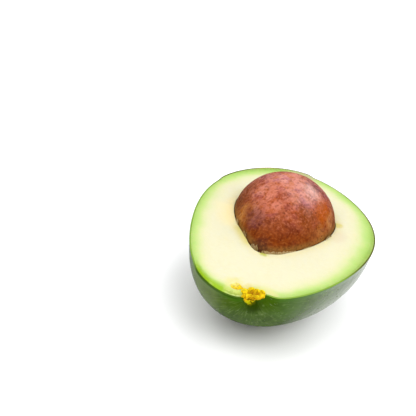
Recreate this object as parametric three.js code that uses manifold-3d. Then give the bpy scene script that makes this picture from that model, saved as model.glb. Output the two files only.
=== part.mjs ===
// Half an avocado, cut lengthwise, with its seed still in place.
// Millimetres, +Z up. The cut face is level and looks up, and the stem end points along -Y.
// The fruit is drawn about its own middle, with the cut face at height zero. It is then lifted so that the
// small flat spot it lies on is at zero and the middle of its outline stands over the origin.
import * as THREE from "three";
import { mergeVertices } from "three/addons/utils/BufferGeometryUtils.js";
import Module from "manifold-3d";

// Whole fruit: an ellipsoid along Y whose radius swells and tapers with the distance from its middle
const FRUIT_LENGTH = 101;
const FRUIT_RADIUS = 35;
const FULLER_TO_BLOSSOM = 0.17;
const SLIMMER_TO_ENDS = -0.03;
const TAPER_TO_BLOSSOM = -0.13;
const AXIS_BEND = 3.6; // sideways sweep of both ends of the axis

// Height of the cut face over the flat spot that the half lies on
const HALF_HEIGHT = 34.6;

// Peel and the clearance between pieces that fit into each other
const SKIN_THICKNESS = 0.9;
const CLEARANCE = 0.3;

// Stem end: where the plug sits, sideways from the end of the axis, and the dimple in the fruit beside it
const STEM_SIDE = 7.1;
const DIMPLE_SIDE = 2.4; // from the plug's axis
const DIMPLE_DEPTH = 2.9;
const DIMPLE_SPREAD = 4.2;

// Seed: an egg along Y, its blunt end to the blossom, sunk a little over half into the flesh
const SEED_HALF_LENGTH = 25;
const SEED_RADIUS = 19.55;
const SEED_SWELL = 0.35;
const SEED_FLATTENING = 0.97;
const SEED_ALONG = 4.1;
const SEED_SIDE = -1.8;
const SEED_BELOW_CUT = 3.1;

// Plug of dried stem tissue: a rounded button with a smaller lobe grown onto its side
const PLUG_RADIUS = 4.6;
const PLUG_LENGTH = 5.4;
const PLUG_ALONG = -46.8; // middle of the button
const PLUG_ABOVE_CUT = 1.2; // the knife passed a little under the plug's axis
const PLUG_SQUARENESS = 0.5; // power on the button's round profile: 1 is an ellipsoid, 0 a plain disc
const LOBE_RADIUS = 2.5;
const LOBE_SIDE = -6; // from the button's middle
const LOBE_ALONG = 1.4;

// Fineness of the surfaces
const FRUIT_STEPS = 36;
const FRUIT_SIDES = 40;
const STEM_CROWDING = 1.25; // over 1, the fruit's steps are finer at the stem end
const SEED_STEPS = 22;
const SEED_SIDES = 36;
const PLUG_STEPS = 8;
const PLUG_SIDES = 20;

const BLOCK = 300; // edge of the blocks that trim the fruit

const STEM_END_SIDE = STEM_SIDE - AXIS_BEND; // the plug's axis, from the fruit's middle

const wasm = await Module();
wasm.setup();

// The solid inside a closed geometry, with its shared vertices joined and its collapsed triangles dropped.
function solidOf(geometry) {
  const bare = geometry.clone();
  bare.deleteAttribute("normal");
  bare.deleteAttribute("uv");
  const merged = mergeVertices(bare);
  const corners = [];
  for (let i = 0; i < merged.index.count; i += 3) {
    const [a, b, c] = merged.index.array.subarray(i, i + 3);
    if (a !== b && b !== c && c !== a) corners.push(a, b, c);
  }
  return new wasm.Manifold(
    new wasm.Mesh({
      numProp: 3,
      vertProperties: merged.attributes.position.array,
      triVerts: new Uint32Array(corners),
    }),
  );
}

// A named mesh of a solid.
function meshOf(name, solid, material) {
  const { vertProperties, triVerts } = solid.getMesh();
  const geometry = new THREE.BufferGeometry();
  geometry.setAttribute("position", new THREE.BufferAttribute(vertProperties, 3));
  geometry.setIndex(new THREE.BufferAttribute(triVerts, 1));
  geometry.computeVertexNormals();
  const mesh = new THREE.Mesh(geometry, material);
  mesh.name = name;
  return mesh;
}

// A round body about the Y axis. radiusAt and alongAt take t, which runs from -1 to 1 along the body.
function roundBody(steps, sides, radiusAt, alongAt, crowding = 1) {
  const profile = [];
  for (let i = 0; i <= steps; i++) {
    const t = -Math.cos(Math.PI * (i / steps) ** crowding);
    profile.push(new THREE.Vector2(radiusAt(t), alongAt(t)));
  }
  return new THREE.LatheGeometry(profile, sides);
}

// Radius of a unit ellipsoid at t along its axis.
function roundness(t) {
  return Math.sqrt(Math.max(0, 1 - t * t));
}

// How far the fruit's axis has swept sideways at t.
function axisSide(t) {
  return -AXIS_BEND * t * t;
}

// The whole fruit's surface, a given depth under its skin.
function fruitGeometry(inset) {
  const halfLength = FRUIT_LENGTH / 2 - inset;
  const geometry = roundBody(
    FRUIT_STEPS,
    FRUIT_SIDES,
    (t) => {
      const swell = 1 + FULLER_TO_BLOSSOM * t + SLIMMER_TO_ENDS * t ** 2 + TAPER_TO_BLOSSOM * t ** 3;
      return (FRUIT_RADIUS - inset) * roundness(t) * swell;
    },
    (t) => halfLength * t,
    STEM_CROWDING,
  );
  const position = geometry.attributes.position;
  const dimpleSide = STEM_END_SIDE + DIMPLE_SIDE;
  for (let i = 0; i < position.count; i++) {
    const along = position.getY(i);
    const side = position.getX(i) + axisSide(along / halfLength);
    const fromDimple = Math.hypot(side - dimpleSide, position.getZ(i)) / DIMPLE_SPREAD;
    const dimple = along < 0 ? DIMPLE_DEPTH * Math.exp(-fromDimple * fromDimple) : 0;
    position.setXY(i, side, along + dimple);
  }
  return geometry;
}

// All the space above or below a level.
function spaceAbove(level) {
  return solidOf(new THREE.BoxGeometry(BLOCK, BLOCK, BLOCK).translate(0, 0, level + BLOCK / 2));
}

function spaceBelow(level) {
  return solidOf(new THREE.BoxGeometry(BLOCK, BLOCK, BLOCK).translate(0, 0, level - BLOCK / 2));
}

// The fruit under the skin to a given depth, pressed flat where it lies.
function fruitSolid(inset) {
  return solidOf(fruitGeometry(inset)).subtract(spaceBelow(inset - HALF_HEIGHT));
}

// The seed, or with a clearance the hollow that it sits in.
function seedSolid(clearance) {
  const geometry = roundBody(
    SEED_STEPS,
    SEED_SIDES,
    (t) => (SEED_RADIUS + clearance) * roundness(t) * (1 + SEED_SWELL * t),
    (t) => (SEED_HALF_LENGTH + clearance) * t,
  );
  geometry.scale(1, 1, SEED_FLATTENING);
  geometry.translate(SEED_SIDE, SEED_ALONG, -SEED_BELOW_CUT);
  return solidOf(geometry);
}

// The stem plug, or with a clearance the notch that it fills, before the cut.
function plugSolid(clearance) {
  const button = roundBody(
    PLUG_STEPS,
    PLUG_SIDES,
    (t) => (PLUG_RADIUS + clearance) * roundness(t) ** PLUG_SQUARENESS,
    (t) => (PLUG_LENGTH / 2 + clearance) * t,
  );
  const lobe = new THREE.SphereGeometry(LOBE_RADIUS + clearance, PLUG_SIDES, PLUG_STEPS);
  button.translate(STEM_END_SIDE, PLUG_ALONG, PLUG_ABOVE_CUT);
  lobe.translate(STEM_END_SIDE + LOBE_SIDE, PLUG_ALONG + LOBE_ALONG, 0);
  return solidOf(button).add(solidOf(lobe));
}

const skinMaterial = new THREE.MeshStandardMaterial({ color: 0x47672f, roughness: 0.42, metalness: 0 });
const fleshMaterial = new THREE.MeshStandardMaterial({ color: 0xfaf3c4, roughness: 0.5, metalness: 0 });
const seedMaterial = new THREE.MeshStandardMaterial({ color: 0xa65f42, roughness: 0.55, metalness: 0 });
const plugMaterial = new THREE.MeshStandardMaterial({ color: 0xc9980f, roughness: 0.85, metalness: 0 });

const aboveCut = spaceAbove(0);
const plugNotch = plugSolid(CLEARANCE);

const skin = fruitSolid(0)
  .subtract(fruitSolid(SKIN_THICKNESS))
  .subtract(plugNotch)
  .subtract(aboveCut);
const flesh = fruitSolid(SKIN_THICKNESS + CLEARANCE)
  .subtract(seedSolid(CLEARANCE))
  .subtract(plugNotch)
  .subtract(aboveCut);
const seed = seedSolid(0);
const plug = plugSolid(0).subtract(aboveCut);

const fruit = new THREE.Group();
fruit.add(
  meshOf("skin", skin, skinMaterial),
  meshOf("flesh", flesh, fleshMaterial),
  meshOf("seed", seed, seedMaterial),
  meshOf("stem_plug", plug, plugMaterial),
);
const middle = new THREE.Box3().setFromObject(fruit).getCenter(new THREE.Vector3());
fruit.position.set(-middle.x, -middle.y, HALF_HEIGHT);

const avocadoHalf = new THREE.Group();
avocadoHalf.name = "avocado_half";
avocadoHalf.add(fruit);

export default avocadoHalf;
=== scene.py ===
"""Dresses a packed avocado half: skin, flesh, seed and stem plug, with a floor, studio light and a camera.

Lengths are metres in the part's own frame. +Z is up and out of the level cut face, +Y runs along the fruit
from its stem end to its blossom end, and the origin is on the surface that the half lies on.
Directions round the half are angles: 0 at the stem end, a quarter turn at +X and half a turn at the
blossom end.
"""

import logging
import math
import random
from collections.abc import Callable, Sequence
from dataclasses import dataclass, field, replace
from enum import Enum

import bmesh
import bpy
import numpy as np
from mathutils import Color, Matrix, Vector, kdtree, noise


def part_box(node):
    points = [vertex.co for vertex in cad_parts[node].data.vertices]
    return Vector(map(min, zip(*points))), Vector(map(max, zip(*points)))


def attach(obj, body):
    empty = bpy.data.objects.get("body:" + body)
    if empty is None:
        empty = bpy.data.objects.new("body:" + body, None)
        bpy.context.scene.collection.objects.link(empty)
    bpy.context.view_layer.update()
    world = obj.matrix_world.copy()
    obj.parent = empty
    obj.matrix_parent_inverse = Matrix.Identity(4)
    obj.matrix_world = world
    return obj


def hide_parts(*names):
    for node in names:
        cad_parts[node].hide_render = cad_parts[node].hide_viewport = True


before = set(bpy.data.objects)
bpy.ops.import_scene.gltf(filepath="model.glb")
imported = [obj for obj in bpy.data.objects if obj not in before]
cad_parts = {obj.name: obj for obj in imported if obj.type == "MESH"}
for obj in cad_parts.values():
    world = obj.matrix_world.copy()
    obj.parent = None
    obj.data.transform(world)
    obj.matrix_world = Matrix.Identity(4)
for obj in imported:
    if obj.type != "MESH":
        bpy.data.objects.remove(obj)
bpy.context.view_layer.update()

LOG = logging.getLogger("avocado_half")
IMAGE_SIDE_PX = 416
BODY = "root"
MM = 0.001
FULL_TURN = 2 * math.pi
QUARTER_TURN = math.pi / 2
NOISE_FADE = 1.0
NOISE_STEP = 2.0

Colour = tuple[float, float, float, float]
Point = tuple[float, float, float]
Span = tuple[float, float]
Socket = bpy.types.NodeSocket


class Piece(Enum):
    """The part's nodes, which are also its material slots."""

    SKIN = "skin"
    FLESH = "flesh"
    SEED = "seed"
    STEM_PLUG = "stem_plug"


class Light(Enum):
    """How strongly the studio lights a surface, where 1 makes a perfect white look just white."""

    LEVEL = 1.68
    SIDE = 1.85
    ROUND = 1.3


def seen(code: str, light: Light) -> Colour:
    """Turns a colour as it looks in the studio into the surface's own colour.

    Args:
        code: Six hexadecimal digits, such as "fdf9d3".
        light: The light that falls on the surface.

    Returns:
        Red, green and blue as the linear values that shaders take, and an alpha of one.
    """
    screen = Color([int(code[i : i + 2], 16) / 255 for i in (0, 2, 4)])
    red, green, blue = (c / light.value for c in screen.from_srgb_to_scene_linear())
    return (red, green, blue, 1.0)


def smooth_step(low: float, high: float, value: np.ndarray) -> np.ndarray:
    """Eases from 0 at low to 1 at high, which may be the smaller of the two."""
    share = np.clip((value - low) / (high - low), 0, 1)
    return share * share * (3 - 2 * share)


def degrees_away(turn: np.ndarray, middle_deg: float) -> np.ndarray:
    """How far directions are from one of them, from -180 to 180."""
    return (np.degrees(turn) - middle_deg + 180) % 360 - 180


@dataclass(frozen=True)
class Bump:
    """A smooth bump of height 1 round one direction."""

    middle_deg: float
    spread_deg: float

    def at(self, turn: np.ndarray) -> np.ndarray:
        """The bump's height in each direction."""
        return np.exp(-((degrees_away(turn, self.middle_deg) / self.spread_deg) ** 2))


@dataclass(frozen=True)
class Stretch:
    """A stretch of directions, 1 between its ends and easing to 0 outside them."""

    start_deg: float
    end_deg: float
    ease_deg: float

    def at(self, turn: np.ndarray) -> np.ndarray:
        """How much of the stretch there is in each direction.

        Args:
            turn: The directions in radians.

        Returns:
            The values, from 0 to 1.
        """
        half = (self.end_deg - self.start_deg) / 2
        away = np.abs(degrees_away(turn, (self.start_deg + self.end_deg) / 2))
        return smooth_step(half + self.ease_deg, half, away)


def unit_circle(turn: np.ndarray) -> np.ndarray:
    """A point on a level circle of radius 1 for each angle, one row each."""
    return np.stack([np.sin(turn), np.cos(turn), np.zeros_like(turn)], 1)


def even_turns(sides: int) -> np.ndarray:
    """Directions all the way round, evenly apart."""
    return np.arange(sides) * FULL_TURN / sides


def noise_at(points: np.ndarray, cell: float, octaves: int = 1, shift: float = 0.0) -> np.ndarray:
    """Smooth noise, the same on every run.

    Args:
        points: Places in metres, one row each.
        cell: Size of the largest bumps in metres.
        octaves: How many ever finer layers are added up.
        shift: Moves the pattern, so that two uses differ.

    Returns:
        A value for each point, mostly from -1 to 1.
    """
    places = points / cell + shift
    return np.array([noise.fractal(Vector(p), NOISE_FADE, NOISE_STEP, octaves) for p in places])


def rough_share(points: np.ndarray, cell: float, octaves: int = 1) -> np.ndarray:
    """The same smooth noise, mostly from 0 to 1."""
    return 0.5 + 0.5 * noise_at(points, cell, octaves)


def distance_to(line: np.ndarray, points: np.ndarray) -> np.ndarray:
    """Distance of each point to the nearest point of a finely drawn line, seen from above.

    Args:
        line: The line's points, one row each.
        points: The places to measure from.

    Returns:
        One distance for each place.
    """
    tree = kdtree.KDTree(len(line))
    for i, (x, y, _) in enumerate(line):
        tree.insert((x, y, 0), i)
    tree.balance()
    return np.array([tree.find((x, y, 0))[2] for x, y, _ in points])


class RingStack:
    """A closed surface made of rings of points, from one pole to the other."""

    def __init__(self, sides: int) -> None:
        """Starts an empty stack.

        Args:
            sides: How many points every ring has.
        """
        self.sides = sides
        self.rings: list[np.ndarray] = []
        self.values: list[dict[str, np.ndarray]] = []

    def add(self, points: np.ndarray, **values: float | np.ndarray) -> None:
        """Adds a ring.

        Args:
            points: The ring's points, one row each.
            values: What the surface carries there, by attribute name; 0 where a ring says nothing.
        """
        self.rings.append(points)
        self.values.append({k: np.broadcast_to(v, self.sides) for k, v in values.items()})

    def mesh(self, name: str) -> bpy.types.Mesh:
        """Joins the rings and closes the first and the last to a pole each.

        Args:
            name: The new mesh's name.

        Returns:
            A smooth closed mesh with an attribute for each value.
        """
        body = np.concatenate(self.rings[1:-1])
        poles = np.stack([self.rings[0].mean(0), self.rings[-1].mean(0)])
        here = np.arange(self.sides)
        beside = (here + 1) % self.sides
        faces: list[list[int]] = []
        for ring in range(len(self.rings) - 3):
            low = ring * self.sides
            high = low + self.sides
            faces += np.stack([low + here, low + beside, high + beside, high + here], 1).tolist()
        first, last = len(body), len(body) + 1
        top = len(body) - self.sides
        faces += [[first, int(b), int(a)] for a, b in zip(here, beside)]
        faces += [[last, top + int(a), top + int(b)] for a, b in zip(here, beside)]
        mesh = bpy.data.meshes.new(name)
        mesh.from_pydata(np.concatenate([body, poles]).tolist(), [], faces)
        nothing = np.zeros(self.sides)
        for key in sorted({key for values in self.values for key in values}):
            rows = [values.get(key, nothing) for values in self.values]
            carry(mesh, key, np.concatenate([*rows[1:-1], [rows[0].mean()], [rows[-1].mean()]]))
        close_and_smooth(mesh)
        return mesh


def carry(mesh: bpy.types.Mesh, name: str, values: np.ndarray) -> None:
    """Gives every point of a mesh a value, which materials and scattering read by name."""
    mesh.attributes.new(name, "FLOAT", "POINT").data.foreach_set("value", values.astype(np.float32))


def read_rows(mesh: bpy.types.Mesh, what: str) -> np.ndarray:
    """Reads one of the vectors that a mesh's points have.

    Args:
        mesh: The mesh.
        what: The vector's name.

    Returns:
        The vectors, one row each.
    """
    flat = np.empty(len(mesh.vertices) * 3)
    mesh.vertices.foreach_get(what, flat)
    return flat.reshape(-1, 3)


def points_of(mesh: bpy.types.Mesh) -> np.ndarray:
    """A mesh's points, one row each."""
    return read_rows(mesh, "co")


def normals_of(mesh: bpy.types.Mesh) -> np.ndarray:
    """Which way a mesh faces at each of its points."""
    return read_rows(mesh, "normal")


def move_points(mesh: bpy.types.Mesh, points: np.ndarray) -> None:
    """Puts a mesh's points in new places."""
    mesh.vertices.foreach_set("co", points.ravel())
    mesh.update()


def close_and_smooth(mesh: bpy.types.Mesh) -> None:
    """Turns a closed mesh's faces outwards and shades it smooth.

    Args:
        mesh: The mesh, which is changed.
    """
    work = bmesh.new()
    work.from_mesh(mesh)
    bmesh.ops.recalc_face_normals(work, faces=work.faces)
    if work.calc_volume(signed=True) < 0:
        bmesh.ops.reverse_faces(work, faces=work.faces)
    work.to_mesh(mesh)
    work.free()
    mesh.shade_smooth()


def place(mesh: bpy.types.Mesh, material: bpy.types.Material, name: str) -> bpy.types.Object:
    """Puts a mesh in the scene at the origin, with its one material.

    Args:
        mesh: The finished mesh, in the part's frame.
        material: Its finish.
        name: The object's name.

    Returns:
        The new object.
    """
    mesh.materials.clear()
    mesh.materials.append(material)
    made = bpy.data.objects.new(name, mesh)
    bpy.context.scene.collection.objects.link(made)
    return made


def dress(piece: bpy.types.Object, slot: Piece, stands_for: bool) -> None:
    """Ties a finished piece to the frame.

    Args:
        piece: The object, at the origin.
        slot: The node's and material slot's name.
        stands_for: Whether it replaces that node, or is a detail on it.
    """
    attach(piece, BODY)
    if stands_for:
        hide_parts(slot.value)
    LOG.info("%s: %d faces", piece.name, len(piece.data.polygons))


def evaluated_mesh(helper: bpy.types.Object, name: str) -> bpy.types.Mesh:
    """Turns an object with modifiers into a plain mesh and removes the object.

    Args:
        helper: The object, already in the scene.
        name: The new mesh's name.

    Returns:
        The mesh as the modifiers leave it.
    """
    shown = helper.evaluated_get(bpy.context.evaluated_depsgraph_get())
    mesh = bpy.data.meshes.new_from_object(shown)
    mesh.name = name
    bpy.data.objects.remove(helper)
    return mesh


class NodeSheet:
    """A node tree with short calls that add nodes and link them."""

    def __init__(self, tree: bpy.types.NodeTree) -> None:
        """Works on that tree."""
        self.tree = tree

    def feed(self, node: bpy.types.Node, inputs: dict[str | int, object]) -> None:
        """Links or sets a node's inputs.

        Args:
            node: The node.
            inputs: Sockets to link or values to set, by the input's name or number.
        """
        for key, value in inputs.items():
            if isinstance(value, Socket):
                self.tree.links.new(value, node.inputs[key])
            else:
                node.inputs[key].default_value = value

    def node(
        self, kind: str, inputs: dict[str | int, object] | None = None, **settings: object
    ) -> bpy.types.Node:
        """Adds a node.

        Args:
            kind: Its type.
            inputs: Values or sockets for its inputs, by name or number.
            settings: Its own properties.

        Returns:
            The node.
        """
        made = self.tree.nodes.new(kind)
        for key, value in settings.items():
            setattr(made, key, value)
        self.feed(made, inputs or {})
        return made

    def math(self, operation: str, *values: object) -> Socket:
        """The result of a sum on one, two or three values."""
        return self.node("ShaderNodeMath", dict(enumerate(values)), operation=operation).outputs[0]

    def vector(self, operation: str, *values: object) -> Socket:
        """The result of a sum on vectors: a vector, or a number for a length or a distance."""
        made = self.node("ShaderNodeVectorMath", dict(enumerate(values)), operation=operation)
        return made.outputs["Value" if operation in ("LENGTH", "DISTANCE") else "Vector"]

    def ease(self, value: object, start: float, end: float) -> Socket:
        """Eases from 0, where a value is at the start, to 1, where it is at the end."""
        inputs = {0: value, 1: start, 2: end, 3: 0.0, 4: 1.0}
        return self.node("ShaderNodeMapRange", inputs, interpolation_type="SMOOTHSTEP").outputs[0]

    def between(self, share: object, low: float, high: float) -> Socket:
        """The value that lies a share of the way from low to high."""
        return self.math("MULTIPLY_ADD", share, high - low, low)

    def both(self, first: object, second: object) -> Socket:
        """Two masks at once: the product of their values."""
        return self.math("MULTIPLY", first, second)

    def mix(self, share: object, first: object, second: object, blend: str = "MIX") -> Socket:
        """A blend of two colours, whose sockets come after the node's sockets for numbers and vectors."""
        inputs = {0: share, 6: first, 7: second}
        return self.node("ShaderNodeMix", inputs, data_type="RGBA", blend_type=blend).outputs[2]

    def ramp(self, value: object, stops: Sequence[tuple[float, Colour]]) -> Socket:
        """Colours read off a scale.

        Args:
            value: Where on the scale, from 0 to 1.
            stops: Places on the scale with their colours.

        Returns:
            The colour.
        """
        made = self.node("ShaderNodeValToRGB", {0: value})
        scale = made.color_ramp.elements
        while len(scale) < len(stops):
            scale.new(1.0)
        for element, (position, colour) in zip(scale, stops):
            element.position = position
            element.color = colour
        return made.outputs[0]

    def group(self, tree: bpy.types.NodeTree, inputs: dict[str | int, object]) -> bpy.types.Node:
        """Adds a shared effect with its own values."""
        return self.node("ShaderNodeGroup", inputs, node_tree=tree)


class SharedEffects:
    """Shader groups that several finishes use: cloudy noise, small specks and soft spots."""

    CLOUD_DETAIL = {"Broad": 3.0, "Fine": 5.0}
    CLOUD_RANGE = (0.28, 0.72)
    SPECK_EDGE = 0.12
    SPOT_DETAIL = 4.0
    SPOT_CORE = 0.3
    NOISE_MIDDLE = 0.5

    def __init__(self) -> None:
        """Builds the groups."""
        self.clouds = self._clouds()
        self.specks = self._specks()
        self.spot = self._spot()

    @staticmethod
    def _begin(
        name: str, values: Sequence[str], outputs: Sequence[str], places: Sequence[str] = ("Vector",)
    ) -> tuple[NodeSheet, bpy.types.Node, bpy.types.Node]:
        """Starts a group.

        Args:
            name: The group's name.
            values: Name of each number that it takes.
            outputs: Name of each number that it puts out.
            places: Name of each vector that it takes.

        Returns:
            The group's sheet, its input node and its output node.
        """
        tree = bpy.data.node_groups.new(name, "ShaderNodeTree")
        for socket in places:
            tree.interface.new_socket(socket, in_out="INPUT", socket_type="NodeSocketVector")
        for socket in values:
            tree.interface.new_socket(socket, in_out="INPUT", socket_type="NodeSocketFloat")
        for socket in outputs:
            tree.interface.new_socket(socket, in_out="OUTPUT", socket_type="NodeSocketFloat")
        sheet = NodeSheet(tree)
        return sheet, sheet.node("NodeGroupInput"), sheet.node("NodeGroupOutput")

    def _clouds(self) -> bpy.types.NodeTree:
        """Noise at a broad and at a fine scale, each from 0 to 1.

        Returns:
            The group.
        """
        names = list(self.CLOUD_DETAIL)
        sheet, given, made = self._begin("cloudy_noise", names, names)
        for name, detail in self.CLOUD_DETAIL.items():
            inputs = {"Vector": given.outputs["Vector"], "Scale": given.outputs[name], "Detail": detail}
            texture = sheet.node("ShaderNodeTexNoise", inputs)
            sheet.feed(made, {name: sheet.ease(texture.outputs[0], *self.CLOUD_RANGE)})
        return sheet.tree

    def _specks(self) -> bpy.types.NodeTree:
        """Small round specks of uneven size, as a mask.

        Returns:
            The group.
        """
        sheet, given, made = self._begin("small_specks", ["Scale", "Size", "Share"], ["Mask"])
        inputs = {"Vector": given.outputs["Vector"], "Scale": given.outputs["Scale"]}
        cells = sheet.node("ShaderNodeTexVoronoi", inputs)
        draw = sheet.node("ShaderNodeSeparateColor", {0: cells.outputs["Color"]})
        reach = sheet.math("MULTIPLY", draw.outputs[0], given.outputs["Size"])
        inside = sheet.ease(sheet.math("SUBTRACT", reach, cells.outputs["Distance"]), 0.0, self.SPECK_EDGE)
        chosen = sheet.math("LESS_THAN", draw.outputs[1], given.outputs["Share"])
        sheet.feed(made, {"Mask": sheet.both(inside, chosen)})
        return sheet.tree

    def _spot(self) -> bpy.types.NodeTree:
        """One soft spot round a point, with an uneven edge, as a mask.

        Returns:
            The group.
        """
        numbers = ["Radius", "Raggedness", "Grain"]
        sheet, given, made = self._begin("soft_spot", numbers, ["Mask"], ["Vector", "Centre"])
        where = given.outputs["Vector"]
        inputs = {"Vector": where, "Scale": given.outputs["Grain"], "Detail": self.SPOT_DETAIL}
        grain = sheet.node("ShaderNodeTexNoise", inputs)
        away = sheet.vector("DISTANCE", where, given.outputs["Centre"])
        share = sheet.math("DIVIDE", away, given.outputs["Radius"])
        wobble = sheet.math("SUBTRACT", grain.outputs[0], self.NOISE_MIDDLE)
        uneven = sheet.math("MULTIPLY_ADD", wobble, given.outputs["Raggedness"], share)
        sheet.feed(made, {"Mask": sheet.ease(uneven, 1.0, self.SPOT_CORE)})
        return sheet.tree


@dataclass(frozen=True)
class Patch:
    """A patch of colour with a soft, uneven edge, placed in the part's frame: some are stains, others
    painted light or shade.
    """

    colour: Colour
    centre_mm: Point
    radius_mm: float
    strength: float
    raggedness: float = 0.8
    grain_mm: float = 4.0


class Finish:
    """What every finish starts from: a material with one main shader, read in object coordinates."""

    def __init__(self, name: str, effects: SharedEffects) -> None:
        """Makes the material.

        Args:
            name: The material's name.
            effects: The shared shader groups.
        """
        self.effects = effects
        self.material = bpy.data.materials.new(name)
        self.material.use_nodes = True
        self.sheet = NodeSheet(self.material.node_tree)
        self.shader = self.material.node_tree.nodes["Principled BSDF"]
        self.place = self.sheet.node("ShaderNodeTexCoord").outputs["Object"]
        self.colour: object = (0, 0, 0, 1)

    def carried(self, name: str) -> Socket:
        """A value that the mesh carries, by attribute name."""
        return self.sheet.node("ShaderNodeAttribute", attribute_name=name).outputs["Fac"]

    def by_height(self, from_mm: float, to_mm: float) -> Socket:
        """Eases from 0 at one height over the surface that the half lies on to 1 at another."""
        height = self.sheet.node("ShaderNodeSeparateXYZ", {0: self.place}).outputs[2]
        return self.sheet.ease(height, from_mm * MM, to_mm * MM)

    def clouds(self, broad_mm: float, fine_mm: float) -> tuple[Socket, Socket]:
        """Cloudy noise.

        Args:
            broad_mm: Size of the broad bumps.
            fine_mm: Size of the fine bumps.

        Returns:
            The broad and the fine value.
        """
        inputs = {"Vector": self.place, "Broad": 1 / (broad_mm * MM), "Fine": 1 / (fine_mm * MM)}
        made = self.sheet.group(self.effects.clouds, inputs)
        return made.outputs["Broad"], made.outputs["Fine"]

    def specks(self, apart_mm: float, size: float, share: float) -> Socket:
        """A mask of specks.

        Args:
            apart_mm: Distance between neighbours.
            size: Largest radius as a share of that distance.
            share: How many of the places hold a speck.

        Returns:
            The mask.
        """
        inputs = {"Vector": self.place, "Scale": 1 / (apart_mm * MM), "Size": size, "Share": share}
        return self.sheet.group(self.effects.specks, inputs).outputs["Mask"]

    def spot(self, centre_mm: Point, radius_mm: float, raggedness: float, grain_mm: float) -> Socket:
        """A mask of one soft spot.

        Args:
            centre_mm: Its middle in the part's frame.
            radius_mm: How far it reaches.
            raggedness: How uneven its edge is.
            grain_mm: Size of that unevenness.

        Returns:
            The mask.
        """
        inputs = {
            "Vector": self.place,
            "Centre": [c * MM for c in centre_mm],
            "Radius": radius_mm * MM,
            "Raggedness": raggedness,
            "Grain": 1 / (grain_mm * MM),
        }
        return self.sheet.group(self.effects.spot, inputs).outputs["Mask"]

    def lines(self, across: Socket, along: Socket, detail: float) -> Socket:
        """Noise drawn out into lines.

        Args:
            across: Place across the lines, in line widths.
            along: Place along the lines, in lengths of line.
            detail: How many ever finer layers it has.

        Returns:
            The noise, from 0 to 1.
        """
        drawn_out = self.sheet.node("ShaderNodeCombineXYZ", {0: across, 1: along}).outputs[0]
        inputs = {"Vector": drawn_out, "Scale": 1.0, "Detail": detail}
        return self.sheet.node("ShaderNodeTexNoise", inputs).outputs[0]

    def paint(self, colour: object, mask: object = 1.0, strength: float = 1.0, blend: str = "MIX") -> None:
        """Lays a colour over what is painted so far.

        Args:
            colour: The colour.
            mask: Where it goes, from 0 to 1.
            strength: How much of it covers there.
            blend: How it mixes.
        """
        share = self.sheet.both(mask, strength)
        self.colour = self.sheet.mix(share, self.colour, colour, blend)

    # Lays stains, and also painted light, sheen and shade
    def paint_patch(self, patch: Patch, within: object = 1.0) -> None:
        """Lays a patch over what is painted so far, where a mask allows it."""
        spot = self.spot(patch.centre_mm, patch.radius_mm, patch.raggedness, patch.grain_mm)
        self.paint(patch.colour, self.sheet.both(spot, within), patch.strength)

    def done(
        self, roughness: Socket, height: Socket, depth_mm: float, **plain: object
    ) -> bpy.types.Material:
        """Links what was painted to the shader.

        Args:
            roughness: The surface's roughness.
            height: Small relief, from 0 to 1.
            depth_mm: How deep that relief is.
            plain: What the shader's other inputs get, by name with _ for a space.

        Returns:
            The material.
        """
        bump = self.sheet.node("ShaderNodeBump", {"Height": height, "Distance": depth_mm * MM})
        inputs = {"Base Color": self.colour, "Roughness": roughness, "Normal": bump.outputs[0]}
        self.sheet.feed(self.shader, inputs)
        self.sheet.feed(self.shader, {key.replace("_", " "): value for key, value in plain.items()})
        return self.material


@dataclass(frozen=True)
class FruitForm:
    """The fruit's shape before the cut, which the skin and the flesh share.

    A place on it has a direction round the half and a dip: 0 at the cut, a quarter turn at the bottom.
    """

    cut_height: float
    shift_x: float
    shift_y: float
    length: float = 100.9 * MM
    radius: float = 34.94 * MM
    fuller_to_blossom: float = 0.17
    slimmer_to_ends: float = -0.03
    taper_to_blossom: float = -0.13
    axis_bend: float = 3.6 * MM
    stem_side: float = 7.1 * MM
    dimple_side: float = 2.4 * MM
    dimple_depth: float = 2.9 * MM
    dimple_spread: float = 4.2 * MM

    @property
    def stem_x(self) -> float:
        """Where the stem plug's axis is, across the fruit."""
        return self.stem_side - self.axis_bend + self.shift_x

    def swell(self, along: np.ndarray) -> np.ndarray:
        """How much wider than an ellipsoid the fruit is, from -1 at the stem end to 1 at the blossom end."""
        bend = self.slimmer_to_ends * along**2 + self.taper_to_blossom * along**3
        return 1 + self.fuller_to_blossom * along + bend

    def surface(
        self, turn: np.ndarray, dip: np.ndarray | float, inset: np.ndarray | float = 0.0, lowest: float = 0.0
    ) -> np.ndarray:
        """Points on the fruit, or a depth under its surface.

        Args:
            turn: Direction round the half, in radians.
            dip: Angle below the cut, in radians.
            inset: Depth under the surface.
            lowest: Height that the flat spot under the fruit has there.

        Returns:
            The points, one row each, in the part's frame.
        """
        along = -np.cos(dip) * np.cos(turn)
        wide = (self.radius - inset) * self.swell(along)
        x = wide * np.cos(dip) * np.sin(turn) - self.axis_bend * along**2 + self.shift_x
        z = -wide * np.sin(dip)
        away = np.hypot(x - self.stem_x - self.dimple_side, z) / self.dimple_spread
        dimple = np.where(along < 0, self.dimple_depth * np.exp(-away * away), 0)
        y = (self.length / 2 - inset) * along + dimple + self.shift_y
        points = np.stack(np.broadcast_arrays(x, y, z + self.cut_height), -1)
        points[:, 2] = np.maximum(points[:, 2], lowest)
        return points

    def dip_at(self, drop: np.ndarray) -> np.ndarray:
        """The dip of a place that lies that far under the cut."""
        return np.arcsin(drop / self.radius)


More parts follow.
